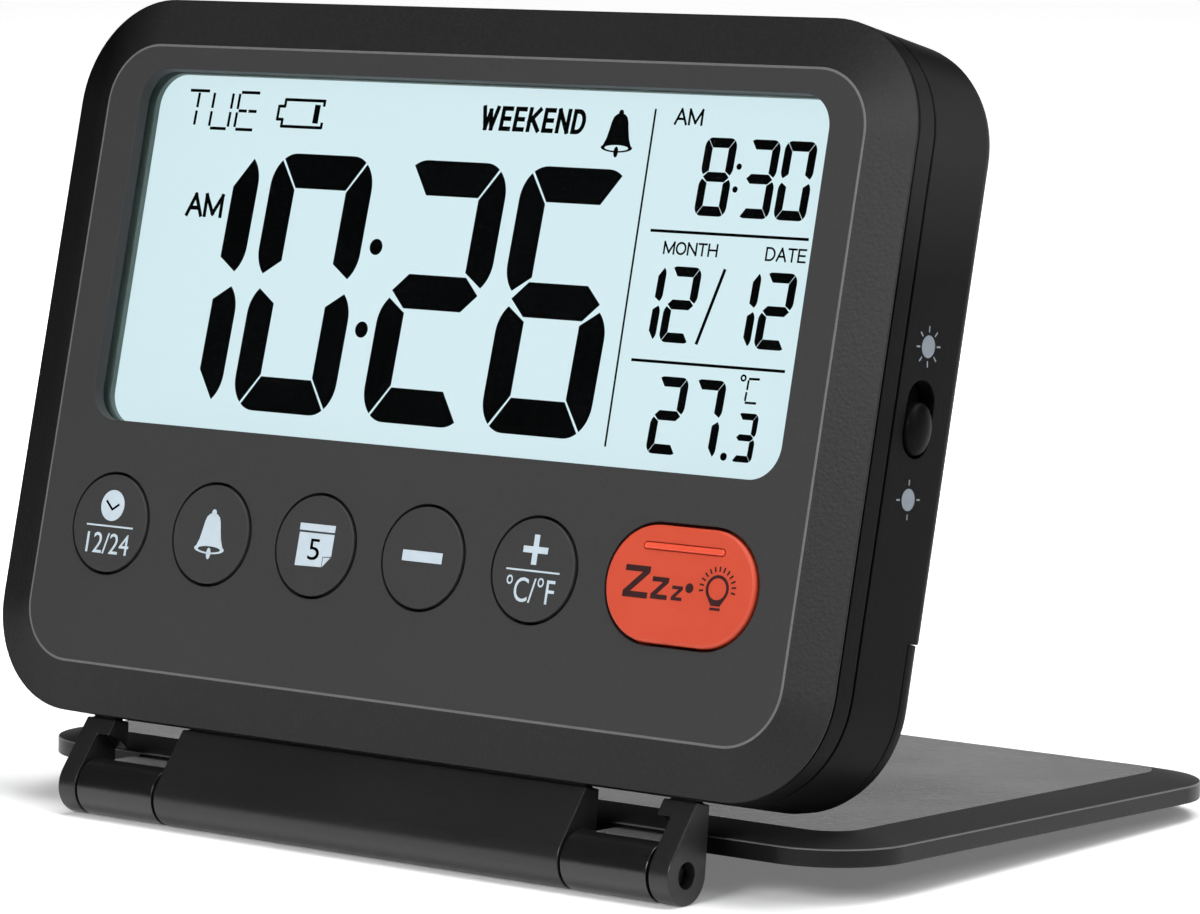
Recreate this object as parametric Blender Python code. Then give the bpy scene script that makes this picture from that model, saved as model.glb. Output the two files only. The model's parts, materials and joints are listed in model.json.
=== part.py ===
"""Folding digital alarm clock: a thin upright clock body on a hinged base plate.

The base plate is also the travel cover: it turns about the hinge under the body's front edge
and folds up over the display. Sizes are in millimetres in the named values below, and the
helpers turn them into metres. Two frames are used:

  body frame   x to the right, y up the display, z out of the display towards the user,
               with its origin at the centre of the front face;
  cover frame  x to the right, y back along the base plate, z up out of it,
               with its origin on the hinge axis.
"""

import math

import bmesh
import bpy
from mathutils import Matrix, Vector

MM = 0.001
GAP = 0.3

# How the clock stands.
BODY_TO_COVER_LEAN = 12.16
COVER_TILT = 1.7

# Clock body.
BODY_WIDTH = 110.5
BODY_HEIGHT = 77.0
BODY_DEPTH = 15.3
BODY_CORNER = 11.6
WALL = 1.6
FACE_BEVEL = 5.25
FACE_BEVEL_DEPTH = 1.4
PANEL_EDGE = 0.1
FRAME_DEPTH = 2.4
FRAME_WALL = 1.8
REAR_ROUND = 2.0
BACK_WALL = 1.6
CORNER_STEPS = 7
ROUND_STEPS = 4

# Display stack.
WINDOW_SIDE_MARGIN = 9.65
WINDOW_TOP_MARGIN = 7.8
WINDOW_ABOVE_BUTTONS = 5.8
WINDOW_SHIFT = 0.1
WINDOW_CORNER = 3.5
LENS_THICK = 0.5
LENS_OVERLAP = 1.0
SEAT_DEPTH = 1.0
LCD_THICK = 1.4
LCD_OVERLAP = 0.9
LCD_LEDGE = 2.0
FRAME_RIM = 0.9
BACKLIGHT_THICK = 1.2
ZEBRA_MARGIN = 5.6
ZEBRA_HEIGHT = 1.4
LED_SIZE = (1.2, 3.0)
LED_STEP = 0.2

# Circuit board.
BOARD_THICK = 1.0
BOARD_DEPTH = 7.2
BOARD_TOP_MARGIN = 9.5
BOARD_LOW_MARGIN = 14.3
BOARD_EDGE_GAP = 1.75
BOARD_SCREW_TOP_MARGIN = 18.5
BOARD_SCREW_LOW_MARGIN = 26.5
BOARD_SCREW_SIDE_MARGIN = 5.35
BOARD_SCREW_HEAD = (1.5, 0.7)
BOARD_SCREW_SHANK = 0.7
BOARD_SCREW_HOLE = 1.0
BOARD_SCREW_BITE = 2.6
BOSS_RADIUS = 1.6
CHIP_CENTRE = (6.0, 2.0)
CHIP_PROFILE = [(2.0, 1.5), (4.6, 1.2), (6.0, 0.6), (6.5, 0.0)]
CRYSTAL_RADIUS = 1.0
CRYSTAL_SPAN = (18.0, 24.0)
CRYSTAL_Y = 12.0
SENSOR_RADIUS = 1.1
SENSOR_SPAN = (-12.0, -9.0)
SENSOR_Y = 22.0
LEAD_GAP = 0.1
BUZZER_CENTRE = (-28.0, 14.0)
BUZZER_RADIUS = 6.5
BUZZER_HEIGHT = 3.5
SOUND_HOLES = 6
SOUND_HOLE_RADIUS = 0.75
SOUND_RING = 3.2

# Buttons.
BUTTON_RADIUS = 5.2
BUTTON_FIRST_MARGIN = 15.19
BUTTON_LOW_MARGIN = 15.0
BUTTON_ROW_TRIM = 0.06
BUTTON_PROUD = 0.15
BUTTON_EDGE = 0.15
FLANGE_THICK = 0.8
FLANGE_EXTRA = 1.0
STEM_INSET = 2.2
STEM_LENGTH = 2.1
SNOOZE_RIGHT_MARGIN = 9.95
SNOOZE_WIDTH = 18.2
SNOOZE_HEIGHT = 11.6
SNOOZE_PROUD = 0.3
SNOOZE_EDGE = 0.3
SNOOZE_FLANGE = 0.6
SNOOZE_STEM_INSET = 2.5
RIDGE_SIZE = (9.7, 0.8)
RIDGE_RISE = 0.15
RIDGE_OFFSET = (-0.3, 3.75)
MEMBRANE_THICK = 0.7
MEMBRANE_REACH = (5.6, 5.9)
MEMBRANE_CORNER = 1.5
DOME_RADII = (2.6, 1.6)
DOME_RISE = 0.4
BUTTON_NAMES = ("clock_button", "alarm_button", "calendar_button", "minus_button", "plus_button")

# Brightness switch in the right side wall.
SLOT_LENGTH = 7.6
SLOT_WIDTH = 4.5
SLOT_Y = 0.8
SLOT_Z = -8.45
KNOB_LENGTH = 5.2
KNOB_CLEARANCE = 0.25
KNOB_RISE = 1.0
KNOB_FLANGE = (4.6, 3.2)
KNOB_PIN = 1.2
KNOB_NECK = (0.4, 0.3)
KNOB_FLANGE_THICK = 0.9
KNOB_DOME_TURN = 80
PIN_BITE = 1.0
SWITCH_DEPTH = 4.2
SWITCH_LENGTH = 12.0
SWITCH_HALF_HEIGHT = 2.1
SWITCH_GROOVE = 1.4
SWITCH_SETBACK = 2.7

# Housing screws and posts.
POST_RADIUS = 1.9
UPPER_POST_MARGINS = (5.35, 7.0)
LOWER_POST_MARGINS = (6.65, 15.9)
POST_BACK_MARGIN = 6.4
TUBE_RADIUS = 2.4
SCREW_SHANK = 0.95
SCREW_HOLE = 1.25
SCREW_HEAD = 1.75
SCREW_HEAD_THICK = 0.8
COUNTERBORE = 2.1
PILOT_DEPTH = 3.7

# Battery bay in the lower back, behind the door.
CELL_RADIUS = 5.2
CELL_LENGTH = 44.5
CELL_NUB = (1.9, 0.8)
CELL_LOW_MARGIN = 7.1
DOOR_HEIGHT = 18.0
DOOR_LIP_MARGIN = 3.1
LEDGE_THICK = 2.1
LEDGE_RISE = 0.6
STEP_SPAN = (0.1, 1.7)
DOOR_RECESS = 0.15
DOOR_GROOVE = (14.0, 2.0, 0.6)
TRAY_WALL = 1.0
CELL_EDGE = 0.5
TRAY_SPARE = 3.95
SPRING_WIRE = 0.35
SPRING_TURNS = 4
SPRING_RADII = (3.9, 2.3)
CONTACT_THICK = 0.5
CONTACT_HALF = 3.6
CONTACT_BUMP = (1.6, 0.6)
WIRE_RADIUS = 0.45

# Hinge.
HINGE_RADIUS = 3.0
HINGE_DROP = 7.43
HINGE_BACK = 1.9
LEAF_GAP = 0.3
LEAF_FRONT = 1.8
LEAF_THICK = 2.1
KNUCKLE_MARGIN = 28.25
EAR_MARGIN = 14.55
EAR_WIDTH = 2.45
ROOT_WIDTH = 4.15
ROOT_CUT_RADIUS = 5.4
ROOT_CUT_FORWARD = 0.9
SEAM = 0.3
PIN_RADIUS = 1.1
PIN_HOLE = 1.3
PIN_IN_KNUCKLE = 6.5
PIN_RECESS = 1.1
WASHER_THICK = 0.45
WASHER_OUTER = 2.0
WASHER_SEAT = 2.25
TONGUE_THICK = 1.2
TONGUE_INSET = 0.5
BAR_HEIGHT = 0.9
BAR_DEPTH = 2.1
BRACKET_SCREW_REACH = 5.0
BRACKET_SCREW_SHANK = 0.55
BRACKET_SCREW_HOLE = 0.8
BRACKET_SCREW_HEAD = (0.95, 0.6)

# Base plate, which is also the cover.
COVER_FRONT = 6.65
COVER_SHORTER = 7.9
COVER_CORNER = 9.0
COVER_BEVEL = 5.1
COVER_BOTTOM = 1.05
COVER_SIDE = 1.8
COVER_BEVEL_RISE = 0.98
COVER_SKIN = 1.1
COVER_WALL = 1.5
ARM_TOP = 2.55
ARM_REACH = 1.85
FOOT_RADIUS = 3.5
FOOT_SIDE_MARGIN = 15.25
FOOT_REAR_MARGIN = 9.75
FOOT_HEIGHT = 1.85
FOOT_EDGE = 0.3
BOSS_MARGIN = 0.3
BOSS_GAP = 0.4
BOSS_INSET = 0.6

# Places that follow from the sizes above.
HALF_WIDTH = BODY_WIDTH / 2
HALF_HEIGHT = BODY_HEIGHT / 2
BUTTON_Y = -HALF_HEIGHT + BUTTON_LOW_MARGIN + BUTTON_RADIUS
WINDOW_LOW = BUTTON_Y + BUTTON_RADIUS + WINDOW_ABOVE_BUTTONS
WINDOW_TOP = HALF_HEIGHT - WINDOW_TOP_MARGIN
WINDOW_WIDTH = BODY_WIDTH - 2 * WINDOW_SIDE_MARGIN
WINDOW_HEIGHT = WINDOW_TOP - WINDOW_LOW
WINDOW_CENTRE = (WINDOW_SHIFT, (WINDOW_LOW + WINDOW_TOP) / 2)
ZEBRA_HALF = WINDOW_WIDTH / 2 - ZEBRA_MARGIN
STEM_RADIUS = BUTTON_RADIUS - STEM_INSET
SNOOZE_X = HALF_WIDTH - SNOOZE_RIGHT_MARGIN - SNOOZE_WIDTH / 2
BUTTON_FIRST_X = -HALF_WIDTH + BUTTON_FIRST_MARGIN
BUTTON_ROW = SNOOZE_X - SNOOZE_WIDTH / 2 - BUTTON_FIRST_X + BUTTON_RADIUS - BUTTON_ROW_TRIM
BUTTON_PITCH = BUTTON_ROW / len(BUTTON_NAMES)
UPPER_POST = (HALF_WIDTH - UPPER_POST_MARGINS[0], HALF_HEIGHT - UPPER_POST_MARGINS[1])
LOWER_POST = (HALF_WIDTH - LOWER_POST_MARGINS[0], LOWER_POST_MARGINS[1] - HALF_HEIGHT)
POST_END = BODY_DEPTH - POST_BACK_MARGIN
CELL_Y = CELL_LOW_MARGIN - HALF_HEIGHT
DOOR_TOP = DOOR_HEIGHT - HALF_HEIGHT
DOOR_LIP = BODY_DEPTH - DOOR_LIP_MARGIN
PANEL_BACK = -(FACE_BEVEL_DEPTH + PANEL_EDGE)
FRAME_FRONT = PANEL_BACK - GAP
FRAME_BACK = FRAME_FRONT - FRAME_DEPTH
HOUSING_FRONT = FRAME_BACK - GAP
HOUSING_BACK = -BODY_DEPTH
BACK_INSIDE = HOUSING_BACK + BACK_WALL
LENS_FRONT = PANEL_BACK - GAP
LENS_BACK = LENS_FRONT - LENS_THICK
SEAT_FRONT = LENS_BACK - GAP
SEAT_BACK = SEAT_FRONT - SEAT_DEPTH + GAP
LCD_FRONT = SEAT_BACK - GAP
LCD_BACK = LCD_FRONT - LCD_THICK
BACKLIGHT_FRONT = LCD_BACK - GAP
BACKLIGHT_BACK = BACKLIGHT_FRONT - BACKLIGHT_THICK
BOARD_FRONT = -BOARD_DEPTH
BOARD_BACK = BOARD_FRONT - BOARD_THICK
BOARD_TOP = HALF_HEIGHT - BOARD_TOP_MARGIN
BOARD_BOTTOM = BOARD_LOW_MARGIN - HALF_HEIGHT
BOARD_SCREW_X = HALF_WIDTH - BOARD_SCREW_SIDE_MARGIN
BOARD_SCREW_HEIGHTS = (HALF_HEIGHT - BOARD_SCREW_TOP_MARGIN, BOARD_SCREW_LOW_MARGIN - HALF_HEIGHT)
LCD_FRAME_BACK = BOARD_FRONT + GAP
MEMBRANE_BACK = BOARD_FRONT + GAP
FLANGE_FRONT = PANEL_BACK - GAP
HINGE_Y = -HALF_HEIGHT - HINGE_DROP
HINGE_Z = -HINGE_BACK
LEAF_TOP = -HALF_HEIGHT - LEAF_GAP
KNUCKLE_HALF = HALF_WIDTH - KNUCKLE_MARGIN
EAR_OUTER = HALF_WIDTH - EAR_MARGIN
EAR_INNER = EAR_OUTER - EAR_WIDTH
ROOT_INNER = EAR_OUTER - ROOT_WIDTH
ARM_INNER = KNUCKLE_HALF + SEAM
ARM_OUTER = EAR_INNER - SEAM
PIN_INNER = KNUCKLE_HALF - PIN_IN_KNUCKLE
BRACKET_SCREW_X = KNUCKLE_HALF + BRACKET_SCREW_REACH
COVER_REAR = COVER_FRONT + BODY_HEIGHT - COVER_SHORTER
FOOT_X = HALF_WIDTH - FOOT_SIDE_MARGIN
FOOT_Y = COVER_REAR - FOOT_REAR_MARGIN
COVER_RIM = COVER_BOTTOM + COVER_SIDE
COVER_TOP = COVER_RIM + COVER_BEVEL_RISE
LEDGE_BACK = -(DOOR_LIP + LEDGE_THICK - 1.0)
LEDGE_FRONT = -(DOOR_LIP - 1.0)
CELL_Z = -(BODY_DEPTH - DOOR_RECESS - BACK_WALL + 0.1 - CELL_RADIUS - GAP)
TRAY_TOP = CELL_Y + CELL_RADIUS + GAP
TRAY_FLOOR = CELL_Z + CELL_RADIUS + 0.1
TRAY_HALF = CELL_LENGTH + CONTACT_THICK + TRAY_SPARE


def metres_along_z(u, v, height):
    return (u * MM, v * MM, height * MM)


def metres_along_x(u, v, height):
    """An outline in (y, z), raised along x."""
    return (height * MM, u * MM, v * MM)


def metres_along_y(u, v, height):
    """An outline in (z, x), raised along y."""
    return (v * MM, height * MM, u * MM)


def box_outline(u_low, u_high, v_low, v_high):
    return [(u_low, v_low), (u_high, v_low), (u_high, v_high), (u_low, v_high)]


def rounded_outline(u_low, u_high, v_low, v_high, radius, steps=CORNER_STEPS):
    """A rounded rectangle, anticlockwise from its lower right corner."""
    centres = (
        (u_high - radius, v_low + radius),
        (u_high - radius, v_high - radius),
        (u_low + radius, v_high - radius),
        (u_low + radius, v_low + radius),
    )
    points = []
    for quarter, (centre_u, centre_v) in enumerate(centres):
        for step in range(steps + 1):
            angle = math.radians(90 * (quarter - 1 + step / steps))
            points.append((centre_u + radius * math.cos(angle), centre_v + radius * math.sin(angle)))
    return points


def oval_outline(centre, half_u, half_v, segments=24):
    angles = [math.tau * step / segments for step in range(segments)]
    return [(centre[0] + half_u * math.cos(a), centre[1] + half_v * math.sin(a)) for a in angles]


def stadium_outline(centre, width, height, steps=CORNER_STEPS):
    half_u, half_v = width / 2, height / 2
    radius = min(half_u, half_v) - 0.001
    return rounded_outline(
        centre[0] - half_u, centre[0] + half_u, centre[1] - half_v, centre[1] + half_v, radius, steps
    )


def body_outline(inset):
    """The body's rounded outline, moved in by a distance."""
    return rounded_outline(
        inset - HALF_WIDTH, HALF_WIDTH - inset, inset - HALF_HEIGHT, HALF_HEIGHT - inset, BODY_CORNER - inset
    )


def cover_outline(inset):
    """The base plate's rounded outline, moved in by a distance."""
    radius = max(COVER_CORNER - inset, 1.0)
    return rounded_outline(
        inset - HALF_WIDTH, HALF_WIDTH - inset, COVER_FRONT + inset, COVER_REAR - inset, radius
    )


def window_outline(grow, grow_down=0.0):
    """The display opening's outline, moved out by a distance."""
    half_width = WINDOW_WIDTH / 2 + grow
    half_height = WINDOW_HEIGHT / 2 + grow
    x, y = WINDOW_CENTRE
    return rounded_outline(
        x - half_width, x + half_width, y - half_height - grow_down, y + half_height, WINDOW_CORNER
    )


def loft(mesh, sections, place=metres_along_z):
    """Adds a closed solid through outlines of equal length, given low to high."""
    rings = []
    for outline, height in sections:
        rings.append([mesh.verts.new(place(u, v, height)) for u, v in outline])
    for lower, upper in zip(rings, rings[1:]):
        for near in range(len(lower)):
            far = (near + 1) % len(lower)
            mesh.faces.new((lower[near], lower[far], upper[far], upper[near]))
    mesh.faces.new(reversed(rings[0]))
    mesh.faces.new(rings[-1])
    return mesh


def prism(mesh, outline, low, high, place=metres_along_z):
    return loft(mesh, [(outline, low), (outline, high)], place)


def box(mesh, x_range, y_range, z_range):
    return prism(mesh, box_outline(*x_range, *y_range), *z_range)


def cylinder(mesh, centre, radius, low, high, place=metres_along_z, segments=24):
    return prism(mesh, oval_outline(centre, radius, radius, segments), low, high, place)


def turned(mesh, centre, profile, place=metres_along_z, segments=24):
    """A solid of revolution through (radius, height) points, given low to high."""
    sections = [(oval_outline(centre, radius, radius, segments), height) for radius, height in profile]
    return loft(mesh, sections, place)


def tube(mesh, path, radius, sides=8):
    """A round wire along a path of points, with flat ends."""
    points = [Vector(point) * MM for point in path]
    rings = []
    normal = Vector((0.0, 0.0, 1.0))
    for index, point in enumerate(points):
        before = points[max(index - 1, 0)]
        after = points[min(index + 1, len(points) - 1)]
        forward = (after - before).normalized()
        normal = (normal - forward * normal.dot(forward)).normalized()
        side = forward.cross(normal)
        ring = []
        for step in range(sides):
            angle = math.tau * step / sides
            offset = (normal * math.cos(angle) + side * math.sin(angle)) * radius * MM
            ring.append(mesh.verts.new(point + offset))
        rings.append(ring)
    for lower, upper in zip(rings, rings[1:]):
        for near in range(sides):
            far = (near + 1) % sides
            mesh.faces.new((lower[near], lower[far], upper[far], upper[near]))
    mesh.faces.new(reversed(rings[0]))
    mesh.faces.new(rings[-1])
    return mesh


def smooth_path(points, count):
    """Points along a Catmull-Rom curve through the given ones."""
    route = [Vector(point) for point in points]
    route = [2 * route[0] - route[1]] + route + [2 * route[-1] - route[-2]]
    path = []
    for step in range(count + 1):
        place = step / count * (len(route) - 3)
        first = min(int(place), len(route) - 4)
        t = place - first
        a, b, c, d = route[first : first + 4]
        path.append(
            0.5 * (2 * b + (c - a) * t + (2 * a - 5 * b + 4 * c - d) * t * t + (3 * b - a - 3 * c + d) * t**3)
        )
    return path


def finish(name, colour, roughness, metallic=0.0):
    """A plain Principled material."""
    material = bpy.data.materials.new(name)
    material.use_nodes = True
    shader = material.node_tree.nodes["Principled BSDF"]
    shader.inputs["Base Color"].default_value = (*colour, 1.0)
    shader.inputs["Roughness"].default_value = roughness
    shader.inputs["Metallic"].default_value = metallic
    return material


def add_frame(name, parent, location, turn):
    """An empty that holds parts, turned about x by an angle in degrees."""
    frame = bpy.data.objects.new(name, None)
    bpy.context.scene.collection.objects.link(frame)
    frame.parent = parent
    frame.location = Vector(location) * MM
    frame.rotation_euler.x = math.radians(turn)
    return frame


def add_part(name, mesh, parent, material, origin=(0.0, 0.0, 0.0)):
    """Makes a named object from a mesh, with its origin at a point of its parent's frame."""
    bmesh.ops.recalc_face_normals(mesh, faces=mesh.faces)
    shift = Vector(origin) * MM
    bmesh.ops.translate(mesh, verts=mesh.verts, vec=-shift)
    data = bpy.data.meshes.new(name)
    mesh.to_mesh(data)
    mesh.free()
    data.shade_smooth()
    data.set_sharp_from_angle(angle=math.radians(35))
    data.materials.append(material)
    part = bpy.data.objects.new(name, data)
    bpy.context.scene.collection.objects.link(part)
    part.parent = parent
    part.location = shift
    return part


def combine(part, operation, mesh):
    """Cuts a mesh from a part, joins it on, or keeps what they share."""
    label = f"{operation.lower()}_{len(part.modifiers) + 1}"
    tool = add_part(f"{part.name}_{label}", mesh, part.parent, part.data.materials[0])
    tool.hide_render = True
    tool.display_type = "WIRE"
    modifier = part.modifiers.new(label, "BOOLEAN")
    modifier.operation = operation
    modifier.solver = "EXACT"
    modifier.object = tool
    return part


def tangent_angle(point, side):
    """Where a line from a point touches the hinge barrel, as an angle in the (y, z) plane."""
    away_y, away_z = point[0] - HINGE_Y, point[1] - HINGE_Z
    opening = math.acos(HINGE_RADIUS / math.hypot(away_y, away_z))
    return math.atan2(away_z, away_y) + side * opening


def leaf_outline():
    """The side shape of a hinge leaf: a round barrel with two tangent faces up to the body."""
    front = (LEAF_TOP, -LEAF_FRONT)
    back = (LEAF_TOP, -LEAF_FRONT - LEAF_THICK)
    start = tangent_angle(front, 1)
    end = tangent_angle(back, -1) + math.tau
    points = [back, front]
    steps = 20
    for step in range(steps + 1):
        angle = start + (end - start) * step / steps
        points.append((HINGE_Y + HINGE_RADIUS * math.cos(angle), HINGE_Z + HINGE_RADIUS * math.sin(angle)))
    return points


def arm_outline():
    """The side shape of a cover arm: its share of the barrel and a leaf into the base plate."""
    start = math.asin(ARM_TOP / HINGE_RADIUS)
    end = math.tau + math.asin(COVER_BOTTOM / HINGE_RADIUS)
    steps = 22
    points = []
    for step in range(steps + 1):
        angle = start + (end - start) * step / steps
        points.append((HINGE_RADIUS * math.cos(angle), HINGE_RADIUS * math.sin(angle)))
    reach = COVER_FRONT + ARM_REACH
    return points + [(reach, COVER_BOTTOM), (reach, ARM_TOP)]


def both_sides(x_low, x_high):
    """A span on the right and its mirror image on the left."""
    return ((x_low, x_high), (-x_high, -x_low))


def post_places():
    return [(side * x, y) for x, y in (UPPER_POST, LOWER_POST) for side in (1, -1)]


def board_screw_places():
    return [(side * BOARD_SCREW_X, y) for y in BOARD_SCREW_HEIGHTS for side in (1, -1)]


def button_places():
    return [(BUTTON_FIRST_X + BUTTON_PITCH * index, BUTTON_Y) for index in range(len(BUTTON_NAMES))]


def snooze_outline(grow):
    return stadium_outline((SNOOZE_X, BUTTON_Y), SNOOZE_WIDTH + 2 * grow, SNOOZE_HEIGHT + 2 * grow)


def screw(mesh, centre, head_back, shank_end, head_radius, shank_radius, head_thick=SCREW_HEAD_THICK):
    """A pan head screw along z, its head at the low end."""
    head_front = head_back + head_thick
    profile = [
        (head_radius * 0.8, head_back),
        (head_radius, head_back + head_thick * 0.4),
        (head_radius, head_front),
        (shank_radius, head_front),
        (shank_radius, shank_end - shank_radius),
        (shank_radius * 0.4, shank_end),
    ]
    return turned(mesh, centre, profile, segments=16)


def make_front_panel(parent, material):
    mesh = bmesh.new()
    sections = [
        (body_outline(0.0), PANEL_BACK),
        (body_outline(0.0), -FACE_BEVEL_DEPTH),
        (body_outline(FACE_BEVEL), 0.0),
    ]
    panel = add_part("front_panel", loft(mesh, sections), parent, material)
    holes = bmesh.new()
    prism(holes, window_outline(0.0), PANEL_BACK - 1, 1.0)
    for place in button_places():
        cylinder(holes, place, BUTTON_RADIUS + GAP, PANEL_BACK - 1, 1.0, segments=32)
    prism(holes, snooze_outline(GAP), PANEL_BACK - 1, 1.0)
    combine(panel, "DIFFERENCE", holes)
    posts = bmesh.new()
    for place in post_places():
        cylinder(posts, place, POST_RADIUS, -POST_END, PANEL_BACK + 0.25)
    for place in board_screw_places():
        cylinder(posts, place, BOSS_RADIUS, BOARD_FRONT + GAP, PANEL_BACK + 0.25)
    combine(panel, "UNION", posts)
    pilots = bmesh.new()
    for place in post_places():
        cylinder(pilots, place, SCREW_HOLE, -POST_END - 1, -POST_END + PILOT_DEPTH, segments=16)
    for place in board_screw_places():
        cylinder(pilots, place, BOARD_SCREW_HOLE, BOARD_FRONT - 1, BOARD_FRONT + 3.2, segments=16)
    combine(panel, "DIFFERENCE", pilots)


def make_middle_frame(parent, material):
    frame = add_part(
        "middle_frame", prism(bmesh.new(), body_outline(0.0), FRAME_BACK, FRAME_FRONT), parent, material
    )
    inside = prism(bmesh.new(), body_outline(FRAME_WALL), FRAME_BACK - 1, FRAME_FRONT + 1)
    combine(frame, "DIFFERENCE", inside)
    slots = bmesh.new()
    middle = -LEAF_FRONT - LEAF_THICK / 2
    half = TONGUE_THICK / 2 + GAP
    for x_low, x_high in tongue_spans():
        x_range = (x_low - GAP, x_high + GAP)
        box(slots, x_range, (-HALF_HEIGHT - 1, -HALF_HEIGHT + FRAME_WALL + 1), (middle - half, middle + half))
    for side in (1, -1):
        centre = (middle, side * BRACKET_SCREW_X)
        low, high = -HALF_HEIGHT + 0.5, -HALF_HEIGHT + FRAME_WALL + 1
        cylinder(slots, centre, BRACKET_SCREW_HOLE, low, high, metres_along_y, 16)
    combine(frame, "DIFFERENCE", slots)


def tongue_spans():
    """Where the bracket's leaves pass through the middle frame's lower wall."""
    spans = [(TONGUE_INSET - KNUCKLE_HALF, KNUCKLE_HALF - TONGUE_INSET)]
    spans.extend(both_sides(ROOT_INNER + TONGUE_INSET, EAR_OUTER - TONGUE_INSET))
    return spans


def rear_sections(inset, back, front):
    """The rear housing's outside, rounded at the back."""
    sections = []
    for step in range(ROUND_STEPS + 1):
        angle = math.radians(90 * step / ROUND_STEPS)
        depth = back + REAR_ROUND * (1 - math.cos(angle))
        sections.append((body_outline(inset + REAR_ROUND * (1 - math.sin(angle))), depth))
    sections.append((body_outline(inset), front))
    return sections


def make_rear_housing(parent, material):
    mesh = loft(bmesh.new(), rear_sections(0.0, HOUSING_BACK, HOUSING_FRONT))
    housing = add_part("rear_housing", mesh, parent, material)
    cavity = prism(bmesh.new(), body_outline(WALL), BACK_INSIDE, HOUSING_FRONT + 1)
    combine(housing, "DIFFERENCE", cavity)
    opening = bmesh.new()
    across = (-HALF_WIDTH - 5, HALF_WIDTH + 5)
    box(opening, across, (-HALF_HEIGHT - 5, DOOR_TOP), (HOUSING_BACK - 5, -DOOR_LIP))
    combine(housing, "DIFFERENCE", opening)
    wall_reach = HALF_WIDTH - WALL + 0.25
    ledge = bmesh.new()
    ledge_range = (TRAY_TOP, DOOR_TOP + LEDGE_RISE)
    box(ledge, (-wall_reach, wall_reach), ledge_range, (LEDGE_BACK, LEDGE_FRONT))
    combine(housing, "UNION", ledge)
    rebates = bmesh.new()
    for x_range in both_sides(HALF_WIDTH - DOOR_RECESS - WALL - GAP, HALF_WIDTH + 5):
        box(rebates, x_range, (-HALF_HEIGHT, DOOR_TOP), (LEDGE_BACK - 1, -DOOR_LIP))
    combine(housing, "DIFFERENCE", rebates)
    step = bmesh.new()
    step_range = (DOOR_TOP + STEP_SPAN[0], DOOR_TOP + STEP_SPAN[1])
    box(step, (-wall_reach, wall_reach), step_range, (BACK_INSIDE - 0.3, LEDGE_FRONT - 0.1))
    combine(housing, "UNION", step)
    partition = bmesh.new()
    tray_outer = TRAY_HALF + TRAY_WALL
    partition_range = (TRAY_TOP, TRAY_TOP + TRAY_WALL)
    box(partition, (-tray_outer, tray_outer), partition_range, (LEDGE_BACK + 0.2, TRAY_FLOOR + 0.9))
    combine(housing, "UNION", partition)
    floor = bmesh.new()
    floor_range = (CELL_Y - CELL_RADIUS / 2, TRAY_TOP + TRAY_WALL / 2)
    box(floor, (-tray_outer + 0.1, tray_outer - 0.1), floor_range, (TRAY_FLOOR, TRAY_FLOOR + TRAY_WALL))
    combine(housing, "UNION", floor)
    ends = bmesh.new()
    for x_range in both_sides(TRAY_HALF, tray_outer + 0.05):
        end_range = (CELL_Y - CELL_RADIUS / 2 + 0.1, TRAY_TOP + TRAY_WALL / 2)
        box(ends, x_range, end_range, (LEDGE_BACK + 1.0, TRAY_FLOOR + TRAY_WALL / 2))
    combine(housing, "UNION", ends)
    tubes = bmesh.new()
    for side in (1, -1):
        tube_front = -POST_END - GAP
        upper = (side * UPPER_POST[0], UPPER_POST[1])
        lower = (side * LOWER_POST[0], LOWER_POST[1])
        cylinder(tubes, upper, TUBE_RADIUS, BACK_INSIDE - 0.4, tube_front)
        cylinder(tubes, lower, TUBE_RADIUS, LEDGE_BACK + 0.3, tube_front)
    combine(housing, "UNION", tubes)
    cuts = bmesh.new()
    for side in (1, -1):
        upper = (side * UPPER_POST[0], UPPER_POST[1])
        lower = (side * LOWER_POST[0], LOWER_POST[1])
        for centre, back in ((upper, HOUSING_BACK), (lower, LEDGE_BACK)):
            seat = back + SCREW_HEAD_THICK + 2 * GAP
            wide = [(COUNTERBORE, back - 1), (COUNTERBORE, seat)]
            narrow = [(SCREW_HOLE, seat), (SCREW_HOLE, -POST_END)]
            turned(cuts, centre, wide + narrow, segments=16)
    combine(housing, "DIFFERENCE", cuts)
    side_cuts = bmesh.new()
    slot = stadium_outline((SLOT_Y, SLOT_Z), SLOT_LENGTH, SLOT_WIDTH)
    prism(side_cuts, slot, HALF_WIDTH - WALL - 1, HALF_WIDTH + 1, metres_along_x)
    for x, y in sound_hole_places():
        cylinder(side_cuts, (x, y), SOUND_HOLE_RADIUS, HOUSING_BACK - 1, BACK_INSIDE + 1, segments=12)
    combine(housing, "DIFFERENCE", side_cuts)


def sound_hole_places():
    """A ring of small holes over the buzzer, with one in the middle."""
    return [BUZZER_CENTRE] + oval_outline(BUZZER_CENTRE, SOUND_RING, SOUND_RING, SOUND_HOLES)


def make_battery_door(parent, material):
    back = HOUSING_BACK + DOOR_RECESS
    front = -DOOR_LIP - GAP
    shell = loft(bmesh.new(), rear_sections(DOOR_RECESS, back, front))
    door = add_part("battery_door", shell, parent, material)
    keep = bmesh.new()
    box(keep, (-HALF_WIDTH - 5, HALF_WIDTH + 5), (-HALF_HEIGHT - 5, DOOR_TOP - GAP), (back - 5, front + 5))
    combine(door, "INTERSECT", keep)
    hollow = prism(bmesh.new(), body_outline(WALL + DOOR_RECESS), back + BACK_WALL - 0.1, front + 1)
    combine(door, "DIFFERENCE", hollow)
    groove = bmesh.new()
    length, width, depth = DOOR_GROOVE
    outline = stadium_outline((0.0, DOOR_TOP - GAP - 2 * width), length, width, 4)
    prism(groove, outline, back - 1, back + depth)
    combine(door, "DIFFERENCE", groove)


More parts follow.
